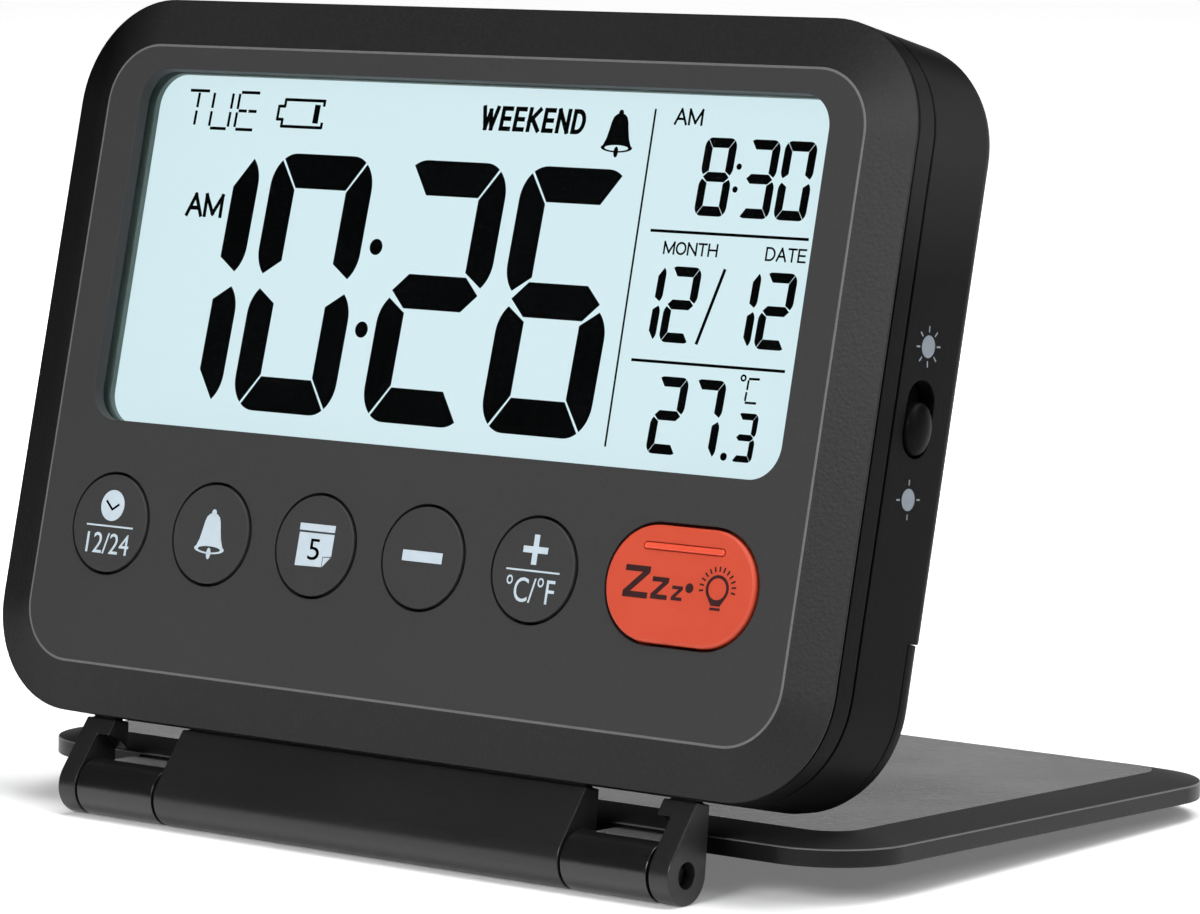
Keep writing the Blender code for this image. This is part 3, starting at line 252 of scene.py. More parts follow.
def soften(piece, width, segments=2, angle=30.0):
    """Rounds every edge that turns by more than an angle."""
    only(piece)
    modifier = piece.modifiers.new("soft edges", "BEVEL")
    modifier.width = width
    modifier.segments = segments
    modifier.limit_method = "ANGLE"
    modifier.angle_limit = math.radians(angle)
    modifier.use_clamp_overlap = False
    bpy.ops.object.modifier_apply(modifier=modifier.name)
    return smooth(piece)


def settle(piece, place, finishes, body, replaces=(), regions=()):
    """Puts a finished piece in its place with its finishes, by face if it has regions, and its body."""
    only(piece)
    piece.matrix_world = place
    bpy.ops.object.transform_apply(location=True, rotation=True, scale=True)
    piece.data.materials.clear()
    for finish in finishes if isinstance(finishes, list) else [finishes]:
        piece.data.materials.append(finish)
    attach(piece, body)
    if replaces:
        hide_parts(*replaces)
    for polygon, index in zip(piece.data.polygons, regions):
        polygon.material_index = index
    print(piece.name, len(piece.data.polygons), "faces")
    return piece


# %% [markdown]
# ## Flat drawings
# The display's segments and the printed symbols are thin flat shapes. A filled 2D curve is the
# simplest way to draw them: its first outline is the shape, and an outline inside it is a hole.
# Shapes that overlap need a curve each, because a filled curve would make the overlap a hole.

# %% Outlines
def arc(centre, radii, start, end, steps=12):
    """Points on part of an ellipse, between two angles in degrees."""
    points = []
    for step in range(steps + 1):
        angle = math.radians(start + (end - start) * step / steps)
        points.append((centre[0] + radii[0] * math.cos(angle), centre[1] + radii[1] * math.sin(angle)))
    return points


def disc(centre, radius, steps=32):
    return arc(centre, (radius, radius), 0, 360 - 360 / steps, steps - 1)


def oval(centre, radii, steps=32):
    return arc(centre, radii, 0, 360 - 360 / steps, steps - 1)


def bar(left, bottom, right_side, top):
    return [(left, bottom), (right_side, bottom), (right_side, top), (left, top)]


def stroke(start, end, width):
    """A straight line of some width."""
    start, end = Vector(start), Vector(end)
    along = (end - start).normalized()
    side = Vector((-along.y, along.x)) * width / 2
    return [tuple(point) for point in (start - side, end - side, end + side, start + side)]


def drawn(name, shapes, level, thickness):
    """A thin flat piece from shapes, each a list of outlines, standing on a level."""
    parts = []
    for outlines in shapes:
        curve = bpy.data.curves.new(name, "CURVE")
        curve.dimensions = "2D"
        curve.fill_mode = "BOTH"
        curve.extrude = thickness / 2
        for outline in outlines:
            spline = curve.splines.new("POLY")
            spline.points.add(len(outline) - 1)
            for point, (x, y) in zip(spline.points, outline):
                point.co = (x, y, 0, 1)
            spline.use_cyclic_u = True
        part = bpy.data.objects.new(name, curve)
        part.location.z = level + thickness / 2
        bpy.context.scene.collection.objects.link(part)
        only(part)
        bpy.ops.object.convert(target="MESH")
        parts.append(named(name))
    return join(parts, name)


def lettering(name, words, box, level, thickness, weight=0.0):
    """Words in Blender's own plain font, fitted into a box of (left, bottom, right, top)."""
    bpy.ops.object.select_all(action="DESELECT")
    bpy.ops.object.text_add()
    text = bpy.context.object
    text.data.body = words
    text.data.size = (box[3] - box[1]) * 1.3
    text.data.offset = weight
    text.data.extrude = thickness / 2
    text.data.resolution_u = 4
    bpy.ops.object.convert(target="MESH")
    text = named(name)
    low = [min(vertex.co[axis] for vertex in text.data.vertices) for axis in range(2)]
    high = [max(vertex.co[axis] for vertex in text.data.vertices) for axis in range(2)]
    text.scale = ((box[2] - box[0]) / (high[0] - low[0]), (box[3] - box[1]) / (high[1] - low[1]), 1)
    text.location = (box[0] - low[0] * text.scale[0], box[1] - low[1] * text.scale[1], level + thickness / 2)
    return named(name)


# %% [markdown]
# ## Materials by arithmetic
# A material is a small sum: grain added to a base colour, a mask taken from one. The Wire class
# lets Python's own signs add the Math nodes, and the Finish class makes any other node and holds
# the Principled shader of one material. Patterns read Object coordinates, in metres.

# %% Wires and finishes
class Wire:
    """A node's output, which can be used in sums with numbers and other wires."""

    def __init__(self, finish, socket):
        self.finish = finish
        self.socket = socket

    def maths(self, operation, first, second, **more):
        return self.finish.node("Math", {"operation": operation, **more}, {0: first, 1: second})

    def __add__(self, other):
        return self.maths("ADD", self, other)

    def __sub__(self, other):
        return self.maths("SUBTRACT", self, other)

    def __rsub__(self, other):
        return self.maths("SUBTRACT", other, self)

    def __mul__(self, other):
        return self.maths("MULTIPLY", self, other)

    def __pow__(self, other):
        return self.maths("POWER", self, other)

    __radd__ = __add__
    __rmul__ = __mul__

    def clamped(self):
        return self.maths("ADD", self, 0.0, use_clamp=True)

    def above(self, value):
        return self.maths("GREATER_THAN", self, value)


class Finish:
    """One material: its nodes and its Principled shader."""

    def __init__(self, name, **constants):
        self.material = bpy.data.materials.new(name)
        self.material.use_nodes = True
        self.tree = self.material.node_tree
        self.shader = self.tree.nodes["Principled BSDF"]
        for socket, value in constants.items():
            self.shader.inputs[socket.replace("_", " ")].default_value = value
        self.place = self.node("TexCoord", output="Object")

    def node(self, kind, settings=None, inputs=None, output=0):
        """Any node: its settings first, then the values or wires of its sockets."""
        node = self.tree.nodes.new("ShaderNode" + kind)
        for key, value in (settings or {}).items():
            if key == "stops":
                while len(node.color_ramp.elements) < len(value):
                    node.color_ramp.elements.new(1.0)
                for element, (position, colour) in zip(node.color_ramp.elements, value):
                    element.position = position
                    element.color = (*colour, 1.0)
            else:
                setattr(node, key, value)
        for key, value in (inputs or {}).items():
            self.feed(node.inputs[key], value)
        return Wire(self, node.outputs[output])

    def feed(self, socket, value):
        if isinstance(value, Wire):
            self.tree.links.new(value.socket, socket)
        else:
            socket.default_value = value

    def noise(self, scale, detail=2.0, roughness=0.5, place=None):
        """Cloudy noise around 0.5, with scale in features for each metre."""
        inputs = {"Vector": place or self.place, "Scale": scale, "Detail": detail, "Roughness": roughness}
        return self.node("TexNoise", {}, inputs)

    def cells(self, scale):
        """Distance to the nearest of many scattered points."""
        return self.node("TexVoronoi", {}, {"Vector": self.place, "Scale": scale})

    def blend(self, factor, first, second):
        """A colour between two colours."""
        inputs = {0: factor, 6: self.colour(first), 7: self.colour(second)}
        return self.node("Mix", {"data_type": "RGBA"}, inputs, output=2)

    def colour(self, value):
        return value if isinstance(value, Wire) else (*value, 1.0)

    def axis(self, letter):
        return self.node("SeparateXYZ", {}, {0: self.place}, output=letter)

    def bump(self, height, distance, strength):
        inputs = {"Height": height, "Distance": distance, "Strength": strength}
        return self.node("Bump", {}, inputs)

    def relief(self, tone, rough, height, depth, strength=0.5):
        """The material of most things: a colour, a roughness and a fine relief."""
        bump = self.bump(height, depth, strength)
        return self.surface(Base_Color=tone, Roughness=rough, Normal=bump)

    def surface(self, **wires):
        """Wires the shader's sockets and gives the material."""
        for socket, value in wires.items():
            self.feed(self.shader.inputs[socket.replace("_", " ")], value)
        return self.material


def grey(value):
    return (value, value, value * 1.02)


# %% [markdown]
# ## Moulded plastic
# The black and dark grey parts are plastic from spark-eroded moulds. Such a mould leaves a fine
# sandy grain: small rounded bumps about a quarter of a millimetre across. Light catches their
# tops, so they also show as a faint speckle, and handling leaves broad patches that are a touch
# glossier. One function makes all the blacks, so that they look like one family.

# %% Grained plastic
def painted_left_shade(finish):
    """1 at the left end of the clock, fading out round its corners: a mask for painted shade."""
    return ((finish.axis("X") * -1.0 - 0.0445) * 125.0).clamped() * 0.95


def painted_side_highlight(finish):
    """1 in a band high on the right side wall, where a highlight is painted into the colour."""
    up = finish.axis("Z")
    band = ((up - 0.060) * 75.0).clamped() * (((up - 0.0865) * -100.0).clamped())
    return band * ((finish.axis("X") - 0.050) * 400.0).clamped()


def grained_plastic(
    name, dark, light, roughness, grain=3400.0, depth=0.00004, shine=0.25, region=None, region_tone=0.0
):
    finish = Finish(name, Specular_IOR_Level=shine)
    sand = finish.noise(grain, detail=3.0, roughness=0.6)
    pits = finish.cells(grain * 0.55)
    clouds = finish.noise(45.0, detail=3.0)
    speckle = ((sand - 0.5) * 1.6 + 0.5).clamped()
    tone = finish.blend(speckle, grey(dark), grey(light))
    tone = finish.blend((clouds - 0.35).clamped() * 0.5, tone, grey(light))
    # A region mask blends a tone into the grain: painted shade or a painted highlight.
    if region:
        tone = finish.blend(region(finish), tone, grey(region_tone))
    rough = clouds * 0.12 + sand * 0.08 + (roughness - 0.1)
    height = sand * 0.7 + pits * 0.3
    return finish.relief(tone, rough, height, depth, 0.55)


panel_plastic = grained_plastic("panel_plastic", 0.026, 0.034, 0.56, depth=0.00002)
# The slopes are darker than the face, with painted shade at their left end.
slope_plastic = grained_plastic(
    "slope_plastic", 0.010, 0.019, 0.40, depth=0.00005, shine=0.16, region=painted_left_shade, region_tone=0.0005
)
# A pale plastic for thin lines at the face's and the plate's edges: painted highlight.
painted_highlight_plastic = grained_plastic("painted_highlight_plastic", 0.10, 0.13, 0.40, depth=0.00001)
# The body plastic has a painted highlight in a band high on the right side wall.
body_plastic = grained_plastic(
    "body_plastic", 0.0025, 0.005, 0.42, depth=0.00003, shine=0.04, region=painted_side_highlight, region_tone=0.022
)
cover_plastic = grained_plastic("cover_plastic", 0.003, 0.011, 0.24, grain=2600.0, depth=0.00004, shine=0.6)
hinge_plastic = grained_plastic("hinge_plastic", 0.008, 0.014, 0.33, grain=3000.0, depth=0.00003, shine=0.45)
# The next two are copies of the cover plastic for the plate's slopes and walls, with painted light and shade:
# paler on the slopes, darker on the walls.
bevel_plastic = grained_plastic("bevel_plastic", 0.018, 0.032, 0.5, grain=2600.0, depth=0.00005, shine=0.12)
shaded_rim_plastic = grained_plastic("shaded_rim_plastic", 0.0015, 0.004, 0.38, depth=0.00003, shine=0.22)
print("eight blacks and greys")

# %% [markdown]
# ## Colour, light and print
# The snooze button is a satin orange. The display glows: its colour is emitted light, a little
# stronger in the middle than at its edges, as it is with one lamp at each end of a light guide.
# The segments are dead black. Prints are pad-printed ink, thin and slightly uneven.

# %% Orange, display and ink
def orange_plastic(name, dark, light):
    finish = Finish(name, Specular_IOR_Level=0.4)
    sand = finish.noise(3200.0, detail=2.0)
    clouds = finish.noise(120.0)
    tone = finish.blend(clouds, dark, light)
    return finish.relief(tone, clouds * 0.1 + 0.42, sand, 0.00002)


DISPLAY_CENTRE = (0.1, 11.7)
DISPLAY_MIDDLE = BODY @ Vector((*DISPLAY_CENTRE, -3.6))


def lit_display():
    finish = Finish("lit_display", Roughness=0.35, Base_Color=(0.02, 0.03, 0.03, 1.0), Emission_Strength=1.0)
    side = (finish.axis("X") - DISPLAY_MIDDLE.x) * 18.0
    height = (finish.axis("Z") - DISPLAY_MIDDLE.z) * 30.0
    fade = (side * side * 0.5 + height * height * 0.5).clamped()
    ripple = finish.noise(60.0, detail=1.0)
    glow = finish.blend((fade * 0.8 + ripple * 0.3).clamped(), (0.650, 0.815, 0.860), (0.60, 0.780, 0.82))
    return finish.surface(Emission_Color=glow, Roughness=ripple * 0.1 + 0.3)


def ink(name, tone, worn, shine=0.3):
    finish = Finish(name, Specular_IOR_Level=shine)
    patches = finish.noise(900.0, detail=3.0)
    colour = finish.blend(patches, tone, worn)
    return finish.relief(colour, patches * 0.2 + 0.4, patches, 0.00001)


def clear_plastic():
    finish = Finish("clear_plastic", Specular_IOR_Level=0.1, Base_Color=(0.1, 0.12, 0.12, 1.0))
    smear = finish.noise(70.0, detail=2.0)
    return finish.surface(Roughness=smear * 0.06 + 0.03, Alpha=smear * 0.008 + 0.004)


def mottled_plastic(name, dark, light):
    finish = Finish(name)
    mottle = finish.noise(900.0)
    tone = finish.blend(mottle, dark, light)
    return finish.relief(tone, mottle * 0.2 + 0.35, mottle, 0.00001)


orange = orange_plastic("orange_plastic", (0.47, 0.048, 0.019), (0.53, 0.060, 0.024))
# A paler copy of the orange for the snooze bar: painted highlight.
painted_highlight_orange = orange_plastic("bright_orange_plastic", (0.62, 0.06, 0.025), (0.70, 0.075, 0.03))
display_light = lit_display()
segment_black = ink("segment_black", (0.0002, 0.0002, 0.0003), (0.0008, 0.0008, 0.001), shine=0.0)
pale_ink = ink("pale_ink", (0.42, 0.50, 0.56), (0.50, 0.58, 0.63))
side_ink = ink("side_ink", (0.16, 0.19, 0.22), (0.21, 0.24, 0.27))
brown_ink = ink("brown_ink", (0.024, 0.007, 0.008), (0.040, 0.013, 0.012), shine=0.15)
clear = clear_plastic()
frame_plastic = mottled_plastic("frame_plastic", (0.055, 0.085, 0.078), (0.075, 0.11, 0.10))
print("display middle", [round(value, 4) for value in DISPLAY_MIDDLE])

# %% [markdown]
# ## Finishes of the parts inside
# The parts inside keep their CAD shapes, and each gets the finish of what it is: green solder
# resist with its tracks, potted resin, zinc plated steel with fine drawing lines, silicone rubber
# with a bloom of dust, and a battery's printed sleeve.

# %% Inside finishes
def circuit_board():
    finish = Finish("circuit_board", Coat_Weight=0.3)
    tracks = finish.node("TexBrick", {}, {"Vector": finish.place, "Scale": 400.0, "Mortar Size": 0.03}, "Fac")
    weave = finish.noise(1500.0)
    tone = finish.blend(tracks, (0.012, 0.10, 0.04), (0.03, 0.20, 0.09))
    return finish.relief(tone, weave * 0.2 + 0.3, tracks, 0.00002, 0.6)


def resin():
    finish = Finish("resin", Coat_Weight=0.2)
    lumps = finish.noise(500.0)
    tone = finish.blend(lumps, (0.006, 0.006, 0.006), (0.014, 0.014, 0.014))
    return finish.relief(tone, lumps * 0.2 + 0.15, lumps, 0.0001, 0.4)


def plated_steel(name, dark, light):
    finish = Finish(name, Metallic=1.0)
    lines = finish.node("Mapping", {}, {"Vector": finish.place, "Scale": (1.0, 12.0, 12.0)})
    drawn_lines = finish.noise(700.0, detail=3.0, place=lines)
    tone = finish.blend(drawn_lines, grey(dark), grey(light))
    return finish.relief(tone, drawn_lines * 0.25 + 0.2, drawn_lines, 0.00001)


def silicone():
    finish = Finish("silicone")
    dust = finish.noise(800.0, detail=4.0)
    tone = finish.blend((dust - 0.3).clamped(), (0.014, 0.014, 0.015), (0.05, 0.05, 0.05))
    return finish.relief(tone, dust * 0.2 + 0.65, dust, 0.00003)


def battery_sleeve():
    finish = Finish("battery_sleeve", Coat_Weight=0.4)
    bands = finish.node("TexWave", {"bands_direction": "X"}, {"Vector": finish.place, "Scale": 22.0})
    scuffs = finish.noise(600.0, detail=3.0)
    tone = finish.blend(bands.above(0.6), (0.015, 0.03, 0.09), (0.42, 0.40, 0.36))
    return finish.relief(tone, scuffs * 0.2 + 0.2, scuffs, 0.00001, 0.4)


steel = plated_steel("plated_steel", 0.42, 0.62)
blackened_steel = plated_steel("blackened_steel", 0.03, 0.06)
inside = {
    "circuit_board": circuit_board(),
    "epoxy": resin(),
    "plated_steel": steel,
    "rubber": silicone(),
    "battery_sleeve": battery_sleeve(),
    "red_insulation": mottled_plastic("red_insulation", (0.35, 0.012, 0.012), (0.5, 0.03, 0.02)),
    "light_guide": mottled_plastic("light_guide", (0.62, 0.72, 0.74), (0.75, 0.84, 0.86)),
    "clear_window": clear,
    "display_glass": display_light,
    "inner_plastic": frame_plastic,
    "panel_plastic": panel_plastic,
    "satin_plastic": body_plastic,
    "orange_plastic": orange,
}
for row in frame["record"]["subparts"]:
    node = frame["nodes"][row["node"]]
    for place_in_list in node.material_slots:
        place_in_list.material = inside[row["material_slot"]]

# %% [markdown]
# ## The front panel
# The front is one moulding: a flat face whose broad edge slopes back to the rim. A rounded block
# is inset to make the slope, the line between face and slope gets a narrow band of painted
# highlight, and then the display opening and the button holes are cut through.

# %% Front panel
HALF_HEIGHT = 38.5
CORNER = 11.6
SLOPE_WIDTH = 5.25
SLOPE_DROP = 1.4
PANEL_BACK = -1.5
WINDOW_HALF = (45.6, 19.0)
WINDOW_CORNER = 3.5
BUTTON_RADIUS = 5.2
BUTTON_GAP = 0.3
BUTTON_XS = [-40.06 + 14.46 * index for index in range(5)]
BUTTON_Y = -18.3
SNOOZE_CENTRE = (36.2, -18.3)
SNOOZE_HALF = (9.1, 5.8)


def window_block(name, low_z, high_z, grow=0.0, grow_down=0.0, segments=12):
    """A block with the display opening's outline, moved out by a distance."""
    x, y = DISPLAY_CENTRE
    half_x, half_y = WINDOW_HALF[0] + grow, WINDOW_HALF[1] + grow
    low = (x - half_x, y - half_y - grow_down, low_z)
    return rounded_block(name, low, (x + half_x, y + half_y, high_z), WINDOW_CORNER, segments)


def snooze_block(name, low_z, high_z, grow=0.0):
    """A block with the snooze button's long round outline."""
    half_x, half_y = SNOOZE_HALF[0] + grow, SNOOZE_HALF[1] + grow
    low = (SNOOZE_CENTRE[0] - half_x, SNOOZE_CENTRE[1] - half_y, low_z)
    high = (SNOOZE_CENTRE[0] + half_x, SNOOZE_CENTRE[1] + half_y, high_z)
    return rounded_block(name, low, high, half_y - 0.01, 20)


def body_block(name, low_z, high_z, inset=0.0, segments=20):
    """A block with the body's outline, moved in by a distance."""
    low = (inset - HALF_WIDTH, inset - HALF_HEIGHT, low_z)
    return rounded_block(name, low, (-low[0], -low[1], high_z), CORNER - inset, segments)


panel = body_block("front_panel_moulding", PANEL_BACK, -SLOPE_DROP)
with editing(panel):
    choose_faces(panel, lambda centre, normal: normal.z > 0.9)
    bpy.ops.mesh.inset(thickness=SLOPE_WIDTH, depth=SLOPE_DROP)
# A narrow strip round the flat face, for the painted highlight line.
with editing(panel, "EDGE"):
    choose_edges(panel, lambda a, b: min(a.z, b.z) > -0.01)
    bpy.ops.mesh.bevel(offset=0.13, segments=1, affect="EDGES")
cut(panel, window_block("cutter", PANEL_BACK - 1, 1))
for x in BUTTON_XS:
    cut(panel, rod("cutter", (x, BUTTON_Y, PANEL_BACK - 1), 3.5, BUTTON_RADIUS + BUTTON_GAP))
cut(panel, snooze_block("cutter", PANEL_BACK - 1, 1, BUTTON_GAP))
soften(panel, 0.12)


def panel_finish(centre):
    """0 on the flat face, 1 on the painted highlight line round it, 2 on the slopes and behind."""
    around_holes = abs(centre.x) < WINDOW_HALF[0] + 1.2 and -25.0 < centre.y < 31.6
    if centre.z > -0.003 or around_holes:
        return 0
    return 1 if centre.z > -0.06 else 2


regions = [panel_finish(polygon.center) for polygon in panel.data.polygons]
finishes = [panel_plastic, painted_highlight_plastic, slope_plastic]
settle(panel, BODY, finishes, "clock_body", ["front_panel"], regions)

# %% [markdown]
# ## Round buttons
# A button is a cap that stands just proud of the face, with a wider flange behind the panel that
# keeps it in, and a stem that presses on the switch. The cap is a rod whose back face is extruded
# and scaled twice. One button is modelled, and the others are copies with their own mesh.

# %% Buttons
CAP_TOP = 0.15
FLANGE_FRONT = -1.8
FLANGE_THICK = 0.8
STEM_LENGTH = 2.1
FLANGE_RADIUS = 6.2
STEM_RADIUS = 3.0


def step_down(piece, centre, scale, depth):
    """Scales the selected back face about a centre, after an extrusion in place, and extrudes it."""
    bpy.ops.mesh.extrude_region_move(TRANSFORM_OT_translate={"value": (0, 0, 0)})
    bpy.ops.transform.resize(value=(scale, scale, 1), center_override=centre)
    bpy.ops.mesh.extrude_region_move(TRANSFORM_OT_translate={"value": (0, 0, -depth)})


button = rod("button_cap", (0, 0, FLANGE_FRONT), CAP_TOP - FLANGE_FRONT, BUTTON_RADIUS, sides=96)
with editing(button):
    choose_faces(button, lambda centre, normal: normal.z < -0.9)
    step_down(button, (0, 0, FLANGE_FRONT), FLANGE_RADIUS / BUTTON_RADIUS, FLANGE_THICK)
    step_down(button, (0, 0, FLANGE_FRONT - FLANGE_THICK), STEM_RADIUS / FLANGE_RADIUS, STEM_LENGTH)
soften(button, 0.14, 3)
for name, x in zip(("clock", "alarm", "calendar", "minus", "plus"), BUTTON_XS):
    cap = copy_of(button, name + "_button_cap", (x, BUTTON_Y, 0))
    settle(cap, BODY, panel_plastic, name + "_button", [name + "_button"])
bpy.data.objects.remove(button)

# %% [markdown]
# ## The snooze button
# It is long, orange and slightly crowned at the edge, with a thin raised bar that a finger can
# find in the dark.

# %% Snooze button
SNOOZE_TOP = 0.3
BAR_LENGTH = 9.8
BAR_WIDTH = 0.6
BAR_Y = 3.66
BAR_RISE = 0.15
BAR_GROOVE = 0.25

snooze = snooze_block("snooze_cap", FLANGE_FRONT - 0.1, SNOOZE_TOP)
with editing(snooze, "EDGE"):
    choose_edges(snooze, lambda a, b: min(a.z, b.z) > SNOOZE_TOP - 0.01)
    bpy.ops.mesh.bevel(offset=0.35, segments=4, affect="EDGES")
fuse(snooze, snooze_block("flange", FLANGE_FRONT - FLANGE_THICK, FLANGE_FRONT, 0.6))
stem_back = FLANGE_FRONT - FLANGE_THICK - STEM_LENGTH
fuse(snooze, snooze_block("stem", stem_back, FLANGE_FRONT - FLANGE_THICK + 0.1, -2.5))


def snooze_bar(name, low_z, high_z, grow):
    """A bar across the top of the snooze button, moved out by a distance."""
    half_x, half_y = BAR_LENGTH / 2 + grow, BAR_WIDTH / 2 + grow
    x, y = SNOOZE_CENTRE[0], SNOOZE_CENTRE[1] + BAR_Y
    low, high = (x - half_x, y - half_y, low_z), (x + half_x, y + half_y, high_z)
    return rounded_block(name, low, high, half_y - 0.01, 6)


cut(snooze, snooze_bar("cutter", SNOOZE_TOP - BAR_GROOVE, 1, BAR_GROOVE / 2))
ridge = snooze_bar("ridge", -0.5, SNOOZE_TOP + BAR_RISE, 0.0)
with editing(ridge, "EDGE"):
    choose_edges(ridge, lambda a, b: min(a.z, b.z) > SNOOZE_TOP)
    bpy.ops.mesh.bevel(offset=0.16, segments=3, affect="EDGES")
smooth(snooze)
settle(snooze, BODY, orange, "snooze_button", ["snooze_button"])
smooth(ridge)
ridge.name = "snooze_ridge"
# The bar takes the paler orange, a painted highlight.
settle(ridge, BODY, painted_highlight_orange, "snooze_button")

# %% [markdown]
# ## Middle frame, rear housing and battery door
# Behind the panel a thin frame and the deep rear housing follow the same outline, with a seam of
# 0.3 mm between them. The housing is hollow and rounded at the back, and its lower back is open
# for the battery door, which slides down and off.

# %% Middle frame
FRAME_FRONT, FRAME_BACK = -1.8, -4.2
FRAME_WALL = 1.8

band = body_block("middle_frame_band", FRAME_BACK, FRAME_FRONT)
cut(band, body_block("cutter", FRAME_BACK - 1, FRAME_FRONT + 1, FRAME_WALL))
TONGUES = [(-26.5, 26.5), (37.05, 40.2), (-40.2, -37.05)]
for left, right_end in TONGUES:
    cut(band, block("cutter", (left - 0.3, -39.5, -3.75), (right_end + 0.3, -35.7, -1.95)))
soften(band, 0.1)
settle(band, BODY, body_plastic, "clock_body", ["middle_frame"])

# %% Rear housing
HOUSING_FRONT, HOUSING_BACK = -4.5, -15.3
WALL = 1.6
REAR_ROUND = 2.0
DOOR_TOP = -20.5
DOOR_LIP = -12.2
SLOT = {"y": 0.8, "z": -8.45, "length": 7.6, "width": 4.5}


def round_back(piece, back_z):
    """Rounds the edge round a piece's back face."""
    with editing(piece, "EDGE"):
        choose_edges(piece, lambda a, b: max(a.z, b.z) < back_z + 0.01)
        bpy.ops.mesh.bevel(offset=REAR_ROUND, segments=6, affect="EDGES")
    return piece


def cross_block(name, half_x, y_range, z_range):
    """A block right across the body, between two heights and two depths."""
    return block(name, (-half_x, y_range[0], z_range[0]), (half_x, y_range[1], z_range[1]))


housing = round_back(body_block("rear_housing_shell", HOUSING_BACK, HOUSING_FRONT), HOUSING_BACK)
cut(housing, body_block("cutter", HOUSING_BACK + WALL, HOUSING_FRONT + 1, WALL))
cut(housing, cross_block("cutter", 60, (-45, DOOR_TOP), (HOUSING_BACK - 5, DOOR_LIP)))
fuse(housing, cross_block("ledge", HALF_WIDTH - WALL + 0.25, (-25.9, -19.9), (-13.3, -11.2)))
for side in (1, -1):
    inner, outer = sorted((side * 53.2, side * 60))
    cut(housing, block("cutter", (inner, -40, -16), (outer, DOOR_TOP, DOOR_LIP)))
fuse(housing, cross_block("step", HALF_WIDTH - WALL + 0.25, (-20.4, -18.8), (-14.0, -11.3)))
fuse(housing, cross_block("tray_wall", 49.9, (-25.9, -24.9), (-13.1, -1.95)))
fuse(housing, cross_block("tray_floor", 49.8, (-34.0, -25.4), (-2.85, -1.85)))
slot_low = (HALF_WIDTH - 3, SLOT["y"] - SLOT["length"] / 2, SLOT["z"] - SLOT["width"] / 2)
slot_high = (HALF_WIDTH + 2, SLOT["y"] + SLOT["length"] / 2, SLOT["z"] + SLOT["width"] / 2)
cut(housing, rounded_block("cutter", slot_low, slot_high, SLOT["width"] / 2 - 0.01, 16, along=0))
print("housing shell", len(housing.data.polygons), "faces")

# %% [markdown]
# The upper screws sit at the bottom of round wells, and a ring of small holes lets the buzzer
# sound out.

# %% Screw wells and sound holes
UPPER_SCREW = (49.9, 31.5)
LOWER_SCREW = (48.6, -22.6)
WELL_RADIUS = 2.1
BUZZER = (-28.0, 14.0)
SOUND_RING = 3.2

for side in (1, -1):
    x, y = side * UPPER_SCREW[0], UPPER_SCREW[1]
    fuse(housing, rod("post", (x, y, -14.0), 4.8, 2.4, sides=32))
    cut(housing, rod("cutter", (x, y, HOUSING_BACK - 1), 2.4, WELL_RADIUS, sides=48))
    x, y = side * LOWER_SCREW[0], LOWER_SCREW[1]
    cut(housing, rod("cutter", (x, y, -14.3), 2.4, WELL_RADIUS, sides=48))
sound_holes = [BUZZER]
for step in range(6):
    angle = math.tau * step / 6
    sound_holes.append((BUZZER[0] + SOUND_RING * math.cos(angle), BUZZER[1] + SOUND_RING * math.sin(angle)))
for x, y in sound_holes:
    cut(housing, rod("cutter", (x, y, HOUSING_BACK - 1), 3.5, 0.75, sides=24))
soften(housing, 0.12)
settle(housing, BODY, body_plastic, "clock_body", ["rear_housing"])

# %% Battery door
DOOR_INSET = 0.15
DOOR_GAP = 0.12
door_back = HOUSING_BACK + DOOR_INSET
door = round_back(body_block("battery_door_shell", door_back, DOOR_LIP - 0.3, DOOR_INSET), door_back)
cut(door, cross_block("cutter", 60, (DOOR_TOP - DOOR_GAP, 45), (door_back - 5, 0)))
cut(door, body_block("cutter", door_back + 1.5, 0, WALL + DOOR_INSET))
GRIP_Y = -24.8
grip_low, grip_high = (-7, GRIP_Y - 1, door_back - 1), (7, GRIP_Y + 1, door_back + 0.6)
cut(door, rounded_block("cutter", grip_low, grip_high, 0.99, 10))
soften(door, 0.12)
settle(door, BODY, body_plastic, "battery_door", ["battery_door"])

# %% [markdown]
# ## Housing screws
# Pan head screws with a cross recess close the rear housing. The cross is cut with two thin
# wedges, and each screw is a copy of the first.

# %% Screws
screw = rod("housing_screw", (0, 0, 0), 0.8, 1.75, sides=48)
with editing(screw):
    choose_faces(screw, lambda centre, normal: normal.z < -0.9)
    bpy.ops.mesh.inset(thickness=0.45, depth=0.12)
cut(screw, block("cutter", (-1.0, -0.2, -0.5), (1.0, 0.2, 0.4)))
cut(screw, block("cutter", (-0.2, -1.0, -0.5), (0.2, 1.0, 0.4)))
fuse(screw, rod("shank", (0, 0, 0.75), 8.9, 0.95, sides=24))
soften(screw, 0.05)
SCREWS = [(49.9, 31.5, -15.0), (-49.9, 31.5, -15.0), (48.6, -22.6, -13.0), (-48.6, -22.6, -13.0)]
for number, place in enumerate(SCREWS, 1):
    head = copy_of(screw, f"housing_screw_head_{number}", place)
    settle(head, BODY, steel, "clock_body", [f"housing_screw_{number}"])
bpy.data.objects.remove(screw)

# %% [markdown]
# ## The brightness knob
# A small oval knob slides in the slot in the side wall. Its dome is made by extruding the cap's
# outer face in short steps, each a little narrower, along a quarter of an ellipse.

# %% Knob
KNOB_Y = -0.15
KNOB_HALF = (2.6, 2.0)
KNOB_RISE = 1.0
DOME_STEPS = 8

